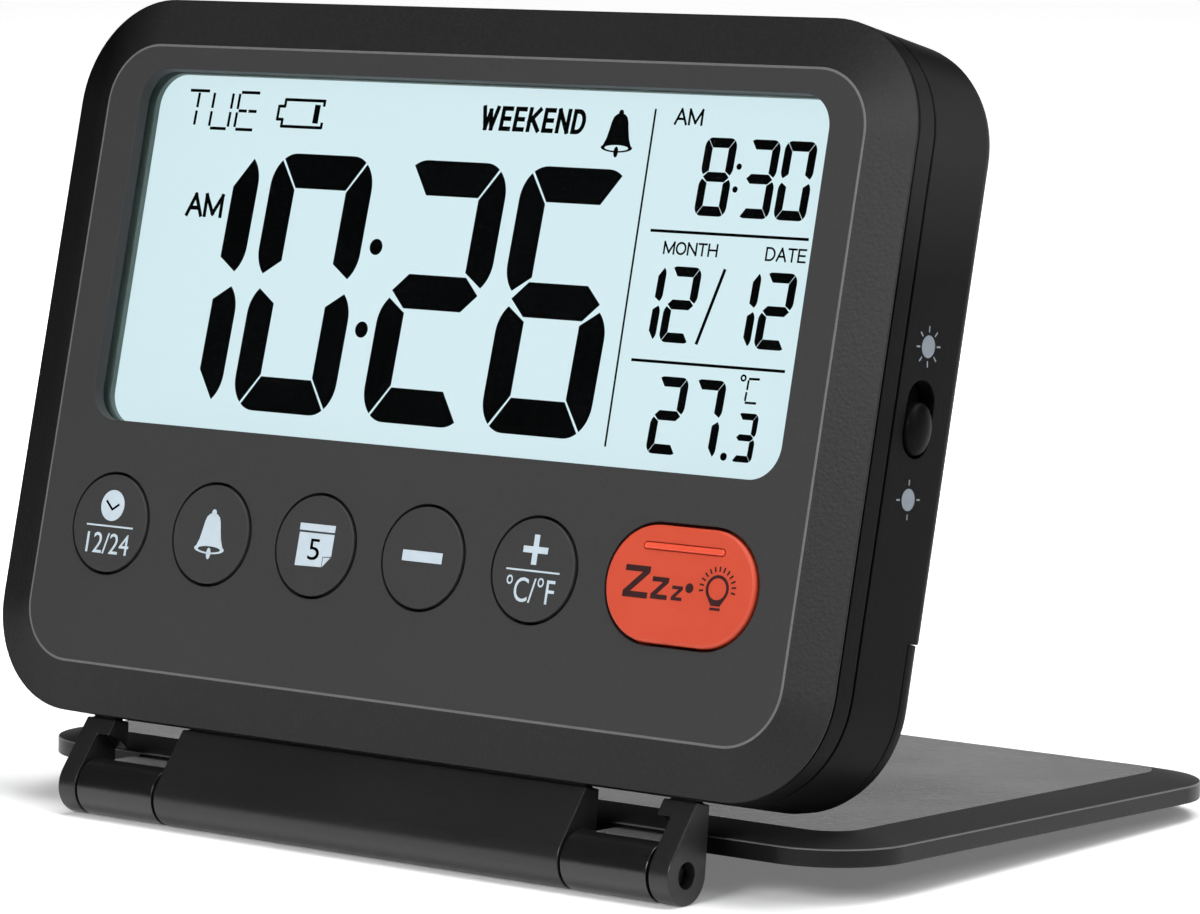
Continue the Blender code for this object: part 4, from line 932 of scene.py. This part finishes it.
knob = rod("brightness_knob_dome", (0, 0, -5.4), 5.4, 1.0, sides=64)
knob.scale = (KNOB_HALF[0], KNOB_HALF[1], 1)
only(knob)
bpy.ops.object.transform_apply(scale=True)
with editing(knob):
    choose_faces(knob, lambda centre, normal: normal.z > 0.9)
    reach, height = 1.0, 0.0
    for step in range(1, DOME_STEPS + 1):
        angle = math.radians(84 * step / DOME_STEPS)
        next_height = KNOB_RISE * math.sin(angle)
        rise = {"value": (0, 0, next_height - height)}
        bpy.ops.mesh.extrude_region_move(TRANSFORM_OT_translate=rise)
        factor = math.cos(angle) / reach
        bpy.ops.transform.resize(value=(factor, factor, 1), center_override=(0, 0, 0))
        reach, height = math.cos(angle), next_height
fuse(knob, rounded_block("flange", (-4.6, -3.2, -2.8), (4.6, 3.2, -1.9), 3.19, 16))
smooth(knob, 50)
knob.location = (KNOB_Y, SLOT["z"], 0)
only(knob)
bpy.ops.object.transform_apply(location=True)
settle(knob, SIDE, body_plastic, "brightness_knob", ["brightness_knob"])

# %% [markdown]
# ## The display's inner frame
# Between the panel and the glass a grey green frame holds the lens and the display apart. Only
# its inner wall shows, as a thin line of colour round the light.

# %% Display frame
inner_frame = window_block("display_frame_ring", -6.9, -1.8, 2.1, 2.0)
cut(inner_frame, window_block("cutter", -8, -1))
cut(inner_frame, window_block("cutter", -2.6, -1, 1.3))
cut(inner_frame, window_block("cutter", -8, -3.3, 1.2, 2.0))
soften(inner_frame, 0.08)
settle(inner_frame, BODY, frame_plastic, "clock_body", ["display_frame"])

# %% [markdown]
# ## The digits
# Every number is made from the same seven segments. They lean by two degrees, the outer corners
# are round, and a hairline of light runs between neighbours. One function draws a digit in any
# size: the proportions stay the same, and the list says which segments are lit.

# %% Seven segments
SEGMENTS_LIT = {
    "0": "abcdef", "1": "bc", "2": "abged", "3": "abgcd", "4": "fgbc",
    "5": "afgcd", "6": "afgcde", "7": "abc", "8": "abcdefg",
}
LEAN = math.tan(math.radians(2.0))


def digit(character, left, middle, width, height, bar_width):
    """The outlines of one digit from its left side and its middle height."""
    half = height / 2
    hair = bar_width * 0.03
    tip_x = bar_width * 0.30
    round_x, round_y = bar_width * 0.85, bar_width * 0.97
    inner_side = bar_width - hair * 2
    outer = arc((round_x, half - round_y), (round_x, round_y), 180, 129, 6)
    upright = outer + [(inner_side, half - bar_width - hair * 2), (inner_side, bar_width * 0.62)]
    upright += [(x, half - y) for x, y in reversed(outer)]
    cap = arc((round_x, half - round_y), (round_x, round_y), 124, 90, 4)
    cap += [(width - x, y) for x, y in reversed(cap)]
    cap += [(width - bar_width + hair, half - bar_width), (bar_width - hair, half - bar_width)]
    waist = bar_width * 0.49
    shoulder = bar_width * 0.88
    middle_bar = [(tip_x + hair * 2, 0), (shoulder, waist), (width - shoulder, waist)]
    middle_bar += [(width - tip_x - hair * 2, 0), (width - shoulder, -waist), (shoulder, -waist)]
    shapes = {
        "f": upright,
        "b": [(width - x, y) for x, y in upright],
        "e": [(x, -y) for x, y in upright],
        "c": [(width - x, -y) for x, y in upright],
        "a": cap,
        "d": [(x, -y) for x, y in cap],
        "g": middle_bar,
    }
    lit = SEGMENTS_LIT[character]
    return [[(left + x + y * LEAN, middle + y) for x, y in shapes[key]] for key in lit]


# Letters as strokes (x, y, x, y) in a box one unit wide and one high. The O and the D are rings.
LETTER_STROKES = {
    "A": [(0.0, 0.0, 0.5, 1.0), (0.5, 1.0, 1.0, 0.0), (0.2, 0.34, 0.8, 0.34)],
    "D": [],
    "E": [(0.0, 0.0, 0.0, 1.0), (0.0, 1.0, 1.0, 1.0), (0.0, 0.5, 0.9, 0.5), (0.0, 0.0, 1.0, 0.0)],
    "H": [(0.0, 0.0, 0.0, 1.0), (1.0, 0.0, 1.0, 1.0), (0.0, 0.5, 1.0, 0.5)],
    "K": [(0.0, 0.0, 0.0, 1.0), (0.0, 0.38, 0.95, 1.0), (0.28, 0.55, 1.0, 0.0)],
    "M": [(0.0, 0.0, 0.0, 1.0), (0.0, 1.0, 0.5, 0.1), (0.5, 0.1, 1.0, 1.0), (1.0, 0.0, 1.0, 1.0)],
    "N": [(0.0, 0.0, 0.0, 1.0), (0.0, 1.0, 1.0, 0.0), (1.0, 0.0, 1.0, 1.0)],
    "O": [],
    "T": [(0.5, 0.0, 0.5, 1.0), (0.0, 1.0, 1.0, 1.0)],
    "W": [(0.0, 1.0, 0.28, 0.0), (0.28, 0.0, 0.5, 0.85), (0.5, 0.85, 0.72, 0.0), (0.72, 0.0, 1.0, 1.0)],
}
LETTER_WIDTHS = {"M": 1.2, "W": 1.45, "E": 0.82, "A": 1.05, "O": 1.1, "T": 0.9}
LETTER_SPACE = 0.26


def ring_letter(letter, left, base, width, height, line):
    """An O or a D as two outlines."""
    inner = line / 2
    outlines = []
    for grow in (inner, -inner):
        centre = (left + width / 2, base + height / 2)
        radii = (width / 2 + grow, height / 2 + grow)
        if letter == "O":
            outlines.append(oval(centre, radii))
        else:
            start = (left + width * 0.4, base + height / 2)
            bow = arc(start, (width * 0.6 + grow, radii[1]), 90, -90, 16)
            outlines.append(bow + [(left - grow, base - grow), (left - grow, base + height + grow)])
    return outlines


def word(text, box, line, slant=0.0, space=LETTER_SPACE):
    """The shapes of a word that fills a box of (left, bottom, right, top)."""
    left, base, right_side, top = box
    widths = [LETTER_WIDTHS.get(letter, 1.0) for letter in text]
    unit = (right_side - left - line) / (sum(widths) + space * (len(text) - 1))
    height = top - base - line
    shapes, x = [], left + line / 2
    for letter, width in zip(text, widths):
        across = width * unit
        for strokes in LETTER_STROKES[letter]:
            ends = (strokes[:2], strokes[2:])
            points = [Vector((x + u * across, base + line / 2 + v * height)) for u, v in ends]
            way = (points[1] - points[0]).normalized() * line * 0.5
            shapes.append([stroke(points[0] - way, points[1] + way, line)])
        if letter in "OD":
            shapes.append(ring_letter(letter, x, base + line / 2, across, height, line))
        x += (width + space) * unit
    return [[[(a + (b - base) * slant, b) for a, b in outline] for outline in shape] for shape in shapes]


SEGMENT_LEVEL = -3.58
SEGMENT_THICK = 0.03
TIME = {"middle": 9.1, "width": 14.1, "height": 27.5, "bar_width": 3.68}
time_outlines = []
for character, left in zip("1026", (-44.4, -28.55, -10.55, 5.4)):
    time_outlines += digit(character, left, **TIME)
time_outlines += [disc((-12.3, 13.48), 0.85), disc((-12.55, 4.76), 0.85)]
time_digits = drawn("time_digits", [time_outlines], SEGMENT_LEVEL, SEGMENT_THICK)
settle(time_digits, BODY, segment_black, "clock_body")

# %% Alarm, date and temperature
SMALL = {"width": 3.9, "bar_width": 1.0}
small_outlines = []
for character, left in zip("830", (28.3, 33.65, 38.1)):
    small_outlines += digit(character, left, 22.62, height=7.9, **SMALL)
small_outlines += [disc((32.93, 23.77), 0.32), disc((32.84, 21.48), 0.32)]
for character, left in zip("1212", (21.95, 26.3, 33.68, 38.05)):
    small_outlines += digit(character, left, 9.66, height=7.65, **SMALL)
small_outlines += [stroke((33.1, 13.5), (30.9, 5.85), 0.36)]
for character, left in zip("27", (26.75, 31.4)):
    small_outlines += digit(character, left, -1.42, height=7.75, **SMALL)
small_outlines += [disc((36.3, -4.97), 0.4)]
small_outlines += digit("3", 37.25, -2.95, 2.55, 4.85, 0.66)
small_digits = drawn("alarm_and_date_digits", [small_outlines], SEGMENT_LEVEL, SEGMENT_THICK)
settle(small_digits, BODY, segment_black, "clock_body")

# %% [markdown]
# ## Words, rules and symbols on the display
# The words are plain: the half of the day, the names of the fields and the day of the week in
# thin segments. Rules part the fields. The bell is drawn from a listed profile for its flare.

# %% Legends
LEGENDS = {
    "time_half_day": ("AM", (-39.7, 15.5, -34.45, 18.08), 0.44, 0.0, 0.3),
    "alarm_half_day": ("AM", (24.05, 27.67, 27.6, 29.38), 0.25, 0.0, 0.3),
    "month_word": ("MONTH", (25.1, 14.62, 31.85, 15.95), 0.2, 0.0, 0.32),
    "date_word": ("DATE", (37.75, 14.57, 42.68, 15.98), 0.2, 0.0, 0.32),
    "weekend_word": ("WEEKEND", (-0.95, 26.25, 12.75, 28.84), 0.48, 0.07, 0.62),
}
for name, (words, box, line, slant, space) in LEGENDS.items():
    legend = drawn(name, word(words, box, line, slant, space), SEGMENT_LEVEL, SEGMENT_THICK)
    settle(legend, BODY, segment_black, "clock_body")

# %% Day, battery symbol and rules
THIN = 0.33


def leaning(x, y, middle=27.1):
    return (x + (y - middle) * LEAN, y)


def thin_line(x_start, y_start, x_end, y_end, width=THIN):
    return stroke(leaning(x_start, y_start), leaning(x_end, y_end), width)


DAY_TOP, DAY_MIDDLE, DAY_LOW = 29.12, 27.12, 25.12
day_lines = [
    (-41.75, DAY_TOP, -38.98, DAY_TOP),
    (-40.38, 28.9, -40.38, 27.3),
    (-40.38, 26.95, -40.38, 25.4),
    (-38.2, 28.95, -38.2, 27.3),
    (-38.2, 26.95, -38.2, 25.35),
    (-38.0, DAY_LOW, -35.75, DAY_LOW),
    (-35.5, 28.95, -35.5, 27.3),
    (-35.5, 26.95, -35.5, 25.35),
    (-34.35, DAY_TOP, -31.75, DAY_TOP),
    (-34.55, 28.95, -34.55, 27.3),
    (-34.55, 26.95, -34.55, 25.35),
    (-34.35, DAY_MIDDLE, -33.2, DAY_MIDDLE),
    (-32.95, DAY_MIDDLE, -31.8, DAY_MIDDLE),
    (-34.35, DAY_LOW, -31.95, DAY_LOW),
]
battery_lines = [
    (-27.9, 28.55, -22.35, 28.55),
    (-22.45, 28.68, -22.45, 27.95),
    (-28.02, 25.68, -22.35, 25.68),
    (-22.35, 25.56, -22.35, 26.25),
    (-27.9, 28.68, -27.9, 27.8),
    (-28.7, 27.82, -27.78, 27.82),
    (-28.7, 27.95, -28.7, 26.3),
    (-28.8, 26.42, -27.85, 26.42),
    (-27.95, 26.5, -27.95, 25.56),
]
rules = [
    stroke((21.52, 29.2), (21.52, -5.05), 0.22),
    bar(23.15, 16.78, 42.67, 17.08),
    bar(23.18, 3.70, 42.17, 4.0),
]
fill_bar = [stroke(leaning(-23.32, 26.12), leaning(-23.32, 28.12), 0.76)]
shapes = [[thin_line(*line)] for line in day_lines + battery_lines]
shapes += [[outline] for outline in rules + fill_bar]
symbols = drawn("display_rules_and_day", shapes, SEGMENT_LEVEL, SEGMENT_THICK)
settle(symbols, BODY, segment_black, "clock_body")

# %% Bells, degree sign and unit
BELL_PROFILE = [
    (0.0, 0.92), (0.12, 0.90), (0.21, 0.84), (0.26, 0.74), (0.30, 0.58), (0.36, 0.38), (0.44, 0.24),
]


def bell(centre, base, width, height):
    """A hand bell: the shell with the dark of its mouth left open, a knob on top and a clapper."""

    def at(x, y):
        return (centre + x * width, base + y * height)

    shell = [at(-x, y) for x, y in reversed(BELL_PROFILE)] + [at(x, y) for x, y in BELL_PROFILE[1:]]
    shell += [at(x, y) for x, y in arc((0, 0.19), (0.5, 0.10), 14, -194, 24)]
    mouth = [at(x, y) for x, y in oval((0.0, 0.185), (0.38, 0.062))]
    knob_top = [at(x, y) for x, y in oval((0, 0.93), (0.075, 0.065))]
    clapper = [at(x, y) for x, y in oval((0.0, 0.10), (0.07, 0.115))]
    return [[shell, mouth], [knob_top], [clapper]]


unit_lines = [
    [stroke((38.0, 2.86), (39.3, 2.88), 0.24)],
    [stroke((37.98, 2.72), (37.95, 1.75), 0.22)],
    [stroke((37.93, 1.55), (37.88, 0.66), 0.22)],
    [stroke((37.9, 0.5), (39.27, 0.5), 0.24)],
    [disc((37.32, 2.9), 0.36), disc((37.32, 2.9), 0.17)],
]
bell_and_unit = drawn(
    "alarm_bell_and_unit", bell(17.25, 24.15, 4.0, 4.85) + unit_lines, SEGMENT_LEVEL, SEGMENT_THICK
)
settle(bell_and_unit, BODY, segment_black, "clock_body")

# %% [markdown]
# ## Prints on the buttons
# The symbols say what each button sets: the hour format, the alarm, the date, down, and up with
# the temperature unit. They are thin films of ink on the caps and move with them.

# %% Button prints
INK_THICK = 0.02
INK_LEVEL = CAP_TOP + 0.005


def printed(name, shapes, body, level=INK_LEVEL, finish=None, words=()):
    """Ink on a button, from shapes and from words with their boxes."""
    film = drawn(name, shapes, level, INK_THICK)
    letters = [lettering(name, text, box, level, INK_THICK, weight) for text, box, weight in words]
    return settle(join([film, *letters], name), BODY, finish or pale_ink, body)


printed(
    "clock_print",
    [[disc((-39.98, -16.42), 1.66)], [bar(-43.3, -18.73, -36.65, -18.55)]],
    "clock_button",
    words=[("12/24", (-42.95, -21.6, -36.85, -19.38), 0.0)],
)
hour_hand = stroke((-40.95, -15.95), (-39.92, -16.88), 0.24)
minute_hand = stroke((-40.0, -16.88), (-39.05, -16.25), 0.24)
hands = [[hour_hand], [minute_hand]]
printed("clock_hands_print", hands, "clock_button", INK_LEVEL + INK_THICK, segment_black)
printed("alarm_print", bell(-25.48, -20.85, 4.15, 5.2), "alarm_button")
fold = [(-9.72, -19.42), (-8.72, -19.36), (-9.72, -20.4)]
sheet_outline = [
    (-13.4, -20.5), (-9.82, -20.42), (-9.82, -19.34), (-8.66, -19.26), (-8.64, -17.0), (-13.36, -17.02),
]
printed(
    "calendar_print",
    [[bar(-13.42, -16.8, -8.64, -16.07)], [sheet_outline], [fold]],
    "calendar_button",
)
five = lettering("calendar_five_print", "5", (-11.85, -19.8, -10.35, -17.6), INK_LEVEL + INK_THICK, INK_THICK)
settle(five, BODY, segment_black, "calendar_button")
printed("minus_print", [[bar(0.75, -18.77, 5.98, -17.66)]], "minus_button")
plus_sign = [
    (17.42, -17.78), (18.08, -17.78), (18.08, -16.62), (19.33, -16.62), (19.33, -15.96), (18.08, -15.96),
    (18.08, -14.76), (17.42, -14.76), (17.42, -15.96), (16.2, -15.96), (16.2, -16.62), (17.42, -16.62),
]
printed(
    "plus_print",
    [[plus_sign], [bar(14.41, -18.5, 21.2, -18.32)]],
    "plus_button",
    words=[("°C/°F", (14.66, -21.6, 20.85, -19.0), 0.0)],
)

# %% [markdown]
# The snooze button says what it does with a row of shrinking letters and a lamp with its rays,
# because the same touch lights the display.

# %% Snooze print
def letter_z(left, bottom, right_side, top, line):
    """A bold Z."""
    slope = line * 1.5
    return [
        (left, bottom), (right_side, bottom), (right_side, bottom + line), (left + slope, bottom + line),
        (right_side, top - line), (right_side, top), (left, top), (left, top - line),
        (right_side - slope, top - line), (left, bottom + line),
    ]


LAMP = (40.85, -18.2)
lamp_glass = arc(LAMP, (1.38, 1.38), 212, -32, 28) + [(41.4, -19.86), (40.34, -19.86)]
lamp_base = [bar(40.25, -20.28, 41.5, -20.03)]
rays = []
for step in range(13):
    angle = math.radians(-8 + 196 * step / 12)
    way = Vector((math.cos(angle), math.sin(angle)))
    centre = Vector(LAMP) + Vector((0.02, 0))
    rays.append([stroke(centre + way * 1.70, centre + way * 2.22, 0.18)])
letters = [
    [letter_z(29.45, -19.87, 32.5, -16.70, 0.60)],
    [letter_z(32.9, -19.80, 34.92, -17.62, 0.47)],
    [letter_z(35.42, -19.74, 36.72, -18.31, 0.33)],
    [disc((37.5, -18.4), 0.48)],
]
printed(
    "snooze_print", letters + [[lamp_glass, disc(LAMP, 1.07)], lamp_base] + rays, "snooze_button",
    SNOOZE_TOP + 0.005, brown_ink,
)

# %% [markdown]
# Two suns on the side wall show which way the brightness knob goes: more rays mean more light.

# %% Suns on the side
def sun(y, z, radius, ray_count, ray_start, ray_end):
    """A disc with rays round it, in the side frame."""
    shapes = [[disc((y, z), radius)]]
    for step in range(ray_count):
        angle = math.radians(8 + 360 * step / ray_count)
        way = Vector((math.cos(angle), math.sin(angle)))
        shapes.append([stroke(Vector((y, z)) + way * ray_start, Vector((y, z)) + way * ray_end, 0.17)])
    return shapes


bright_sun, dim_sun = sun(7.9, -8.3, 1.1, 8, 1.4, 2.0), sun(-7.03, -8.65, 1.08, 4, 1.4, 1.95)
suns = drawn("brightness_marks", bright_sun + dim_sun, 0.005, INK_THICK)
settle(suns, SIDE, side_ink, "clock_body")

# %% [markdown]
# ## The hinge bracket
# Three leaves hang from the body: a long one in the middle and an ear at each end. From the side
# each leaf is a barrel with two tangent faces, which is exactly the convex hull of a round rod and
# a thin strip, so the hull operator gives the shape with no drawing.

# %% Hinge bracket
BARREL_RADIUS = 3.0
LEAF_TOP = -38.8
LEAF_FRONT = -1.8
LEAF_BACK = -3.9
KNUCKLE_HALF = 27.0
EAR_OUTER = 40.7
EAR_INNER = 38.25
ROOT_INNER = 36.55
HOLLOW_RADIUS = 5.4
PIN_HOLE = 1.3
AXIS_Y, AXIS_Z = HINGE_IN_BODY.y, HINGE_IN_BODY.z


def leaf(name, low_x, high_x):
    """A hinge leaf between two places along the axis."""
    barrel = rod(name, (low_x, AXIS_Y, AXIS_Z), high_x - low_x, BARREL_RADIUS, along=0, sides=96)
    strip = block("strip", (low_x, LEAF_TOP - 0.02, LEAF_BACK), (high_x, LEAF_TOP, LEAF_FRONT))
    piece = join([barrel, strip])
    with editing(piece, "VERT"):
        bpy.ops.mesh.select_all(action="SELECT")
        bpy.ops.mesh.convex_hull()
        bpy.ops.mesh.select_all(action="SELECT")
        bpy.ops.mesh.dissolve_limited(angle_limit=math.radians(0.5))
    return piece


bracket = leaf("hinge_bracket_leaves", -KNUCKLE_HALF, KNUCKLE_HALF)
for side in (1, -1):
    low_x, high_x = sorted((side * ROOT_INNER, side * EAR_OUTER))
    ear = leaf("ear", low_x, high_x)
    hollow_low, hollow_high = sorted((side * (ROOT_INNER - 1), side * EAR_INNER))
    hollow_start = (hollow_low, AXIS_Y, AXIS_Z + 0.9)
    cut(ear, rod("cutter", hollow_start, hollow_high - hollow_low, HOLLOW_RADIUS, along=0, sides=96))
    fuse(bracket, ear)
for left, right_end in TONGUES:
    fuse(bracket, block("tongue", (left, LEAF_TOP - 0.5, -3.45), (right_end, -36.0, -2.25)))
fuse(bracket, block("bar", (-40.2, -36.4, -3.9), (40.2, -35.5, -1.8)))
for side in (1, -1):
    low_x = min(side * 20.2, side * 43.0)
    cut(bracket, rod("cutter", (low_x, AXIS_Y, AXIS_Z), 22.8, PIN_HOLE, along=0, sides=48))
soften(bracket, 0.16)
settle(bracket, BODY, hinge_plastic, "clock_body", ["hinge_bracket"])

# %% Hinge pins
for side, name in ((1, "right"), (-1, "left")):
    low_x = min(side * 20.5, side * 39.6)
    pin = soften(rod(f"hinge_pin_{name}_rod", (low_x, AXIS_Y, AXIS_Z), 19.1, 1.1, along=0, sides=48), 0.2, 3)
    settle(pin, BODY, blackened_steel, "clock_body", [f"hinge_pin_{name}"])

# %% [markdown]
# ## The base plate
# The cover is a thin shell with the same look as the front panel: a flat top, a broad sloped edge
# and a short side wall. Two arms run from it to the hinge. Its underside is hollow, so that it
# closes over the face, and two bosses hold the rubber feet.

# %% Base plate
COVER_FRONT, COVER_REAR = 6.65, 75.75
COVER_BOTTOM, COVER_RIM, COVER_TOP = 1.05, 2.85, 3.83
COVER_SLOPE = 5.1
COVER_CORNER = 9.0
ARM_TOP = 2.55
ARM_INNER, ARM_OUTER = 27.3, 37.95
FOOT = (40.0, 66.0)
FOOT_HEIGHT = 1.85
BOSS_RADIUS = 3.8
WASHER_SEAT = 2.25

plate_low, plate_high = (-HALF_WIDTH, COVER_FRONT, COVER_BOTTOM), (HALF_WIDTH, COVER_REAR, COVER_RIM)
plate = rounded_block("cover_plate_shell", plate_low, plate_high, COVER_CORNER)
with editing(plate):
    choose_faces(plate, lambda centre, normal: normal.z > 0.9)
    bpy.ops.mesh.inset(thickness=COVER_SLOPE, depth=COVER_TOP - COVER_RIM)
    choose_faces(plate, lambda centre, normal: normal.z < -0.9)
    bpy.ops.mesh.inset(thickness=1.5)
    bpy.ops.mesh.extrude_region_move(TRANSFORM_OT_translate={"value": (0, 0, 0.7)})
    bpy.ops.mesh.inset(thickness=COVER_SLOPE, depth=-0.98)
for side in (1, -1):
    low_x, high_x = sorted((side * ARM_INNER, side * ARM_OUTER))
    arm = rod("arm", (low_x, 0, 0), high_x - low_x, BARREL_RADIUS, along=0, sides=96)
    fuse(arm, block("arm_leaf", (low_x, 1.0, COVER_BOTTOM), (high_x, COVER_FRONT + 1.85, ARM_TOP)))
    fuse(plate, arm)
    foot_top = FOOT[1] * math.tan(COVER_TILT) - BARREL_RADIUS / math.cos(COVER_TILT) + FOOT_HEIGHT
    boss_start = (side * FOOT[0], FOOT[1], foot_top + 0.4)
    fuse(plate, rod("boss", boss_start, COVER_TOP - foot_top - 1.0, BOSS_RADIUS, sides=48))
for side in (1, -1):
    low_x, high_x = sorted((side * (ARM_INNER - 1), side * (ARM_OUTER + 1)))
    cut(plate, rod("cutter", (low_x, 0, 0), high_x - low_x, PIN_HOLE, along=0, sides=48))
    seat_low, seat_high = sorted((side * (ARM_OUTER - 0.75), side * (ARM_OUTER + 1)))
    cut(plate, rod("cutter", (seat_low, 0, 0), seat_high - seat_low, WASHER_SEAT, along=0, sides=48))
soften(plate, 0.13)


def plate_finish(polygon):
    """0 on the flat top and the arms, 1 on the slopes, 2 on the painted highlight line below them, 3 on the walls.
    """
    x, y = abs(polygon.center.x), polygon.center.y
    if y < COVER_FRONT - 0.1 or (y < COVER_FRONT + 1.9 and ARM_INNER - 0.2 < x < ARM_OUTER + 0.2):
        return 0
    for index, least in enumerate((0.993, 0.9, 0.3)):
        if polygon.normal.z > least:
            return index
    return 3


regions = [plate_finish(polygon) for polygon in plate.data.polygons]
# The slopes and walls take tones of the cover plastic painted lighter and darker: painted light and shade.
finishes = [cover_plastic, bevel_plastic, painted_highlight_plastic, shaded_rim_plastic]
settle(plate, COVER, finishes, "cover", ["cover_plate"], regions)

# %% [markdown]
# ## Floor and light
# The clock stands on a white sweep, lit softly from above and from the right, with less light
# from the left so that the left slopes fall into shade, which painted shade on their left end
# deepens. What the camera sees behind the floor is plain white, while the light that reaches the
# clock from the surroundings is dimmer.

# %% Floor
FLOOR_SIZE = 6.0


def white_floor():
    finish = Finish("white_floor", Roughness=0.7, Specular_IOR_Level=0.1, Emission_Strength=1.0)
    paper = finish.noise(30.0, detail=3.0)
    # The floor glows: faintly near the clock, as painted light that pales its shadows, and fully white far behind
    # it.
    behind = finish.axis("Y") * 0.76 - finish.axis("X") * 0.64
    far = (behind * 4.0 - 0.2).clamped()
    return finish.surface(
        Base_Color=finish.blend(paper, (0.90, 0.90, 0.91), (0.93, 0.93, 0.94)),
        Emission_Color=finish.blend(far, (0.16, 0.16, 0.16), (0.9, 0.9, 0.9)),
    )


bpy.ops.object.select_all(action="DESELECT")
bpy.ops.mesh.primitive_plane_add(size=FLOOR_SIZE)
floor = named("floor")
floor.data.materials.append(white_floor())

# %% Surroundings
world = bpy.data.worlds.new("studio")
bpy.context.scene.world = world
world.use_nodes = True
nodes, links = world.node_tree.nodes, world.node_tree.links
seen = nodes["Background"]
seen.inputs["Color"].default_value = (1.0, 1.0, 1.0, 1.0)
seen.inputs["Strength"].default_value = 1.0
direction = nodes.new("ShaderNodeTexCoord")
height = nodes.new("ShaderNodeSeparateXYZ")
links.new(direction.outputs["Generated"], height.inputs[0])
low_sky = nodes.new("ShaderNodeValToRGB")
for element, (position, level) in zip(low_sky.color_ramp.elements, ((0.08, 1.0), (0.24, 0.03))):
    element.position = position
    element.color = (level, level, level, 1.0)
links.new(height.outputs["Z"], low_sky.inputs[0])
behind = nodes.new("ShaderNodeMapRange")
for key, value in (("From Min", 0.0), ("From Max", 0.6), ("To Min", 0.05), ("To Max", 1.0)):
    behind.inputs[key].default_value = value
links.new(height.outputs["Y"], behind.inputs["Value"])
around = nodes.new("ShaderNodeBackground")
links.new(low_sky.outputs[0], around.inputs["Color"])
links.new(behind.outputs[0], around.inputs["Strength"])
path = nodes.new("ShaderNodeLightPath")
mix = nodes.new("ShaderNodeMixShader")
links.new(path.outputs["Is Camera Ray"], mix.inputs[0])
links.new(around.outputs[0], mix.inputs[1])
links.new(seen.outputs[0], mix.inputs[2])
links.new(mix.outputs[0], nodes["World Output"].inputs["Surface"])


# %% Lamps
def soft_box(name, place, size, power, target=(0.0, 0.0, 0.045)):
    """A rectangular lamp that faces a target."""
    bpy.ops.object.select_all(action="DESELECT")
    bpy.ops.object.light_add(type="AREA", location=place)
    lamp = bpy.context.object
    lamp.name = name
    lamp.data.shape = "RECTANGLE"
    lamp.data.size, lamp.data.size_y = size
    lamp.data.energy = power
    lamp.rotation_euler = (Vector(target) - Vector(place)).to_track_quat("-Z", "Y").to_euler()
    return lamp


soft_box("key", (0.05, -0.9, 0.55), (0.4, 0.4), 6.0)
soft_box("top", (0.2, 0.1, 1.1), (1.0, 1.0), 18.0)
soft_box("right", (0.9, -0.1, 0.7), (0.5, 0.5), 3.0)
print("three soft boxes")

# %% Last: bring the scene up to date
bpy.context.view_layer.update()
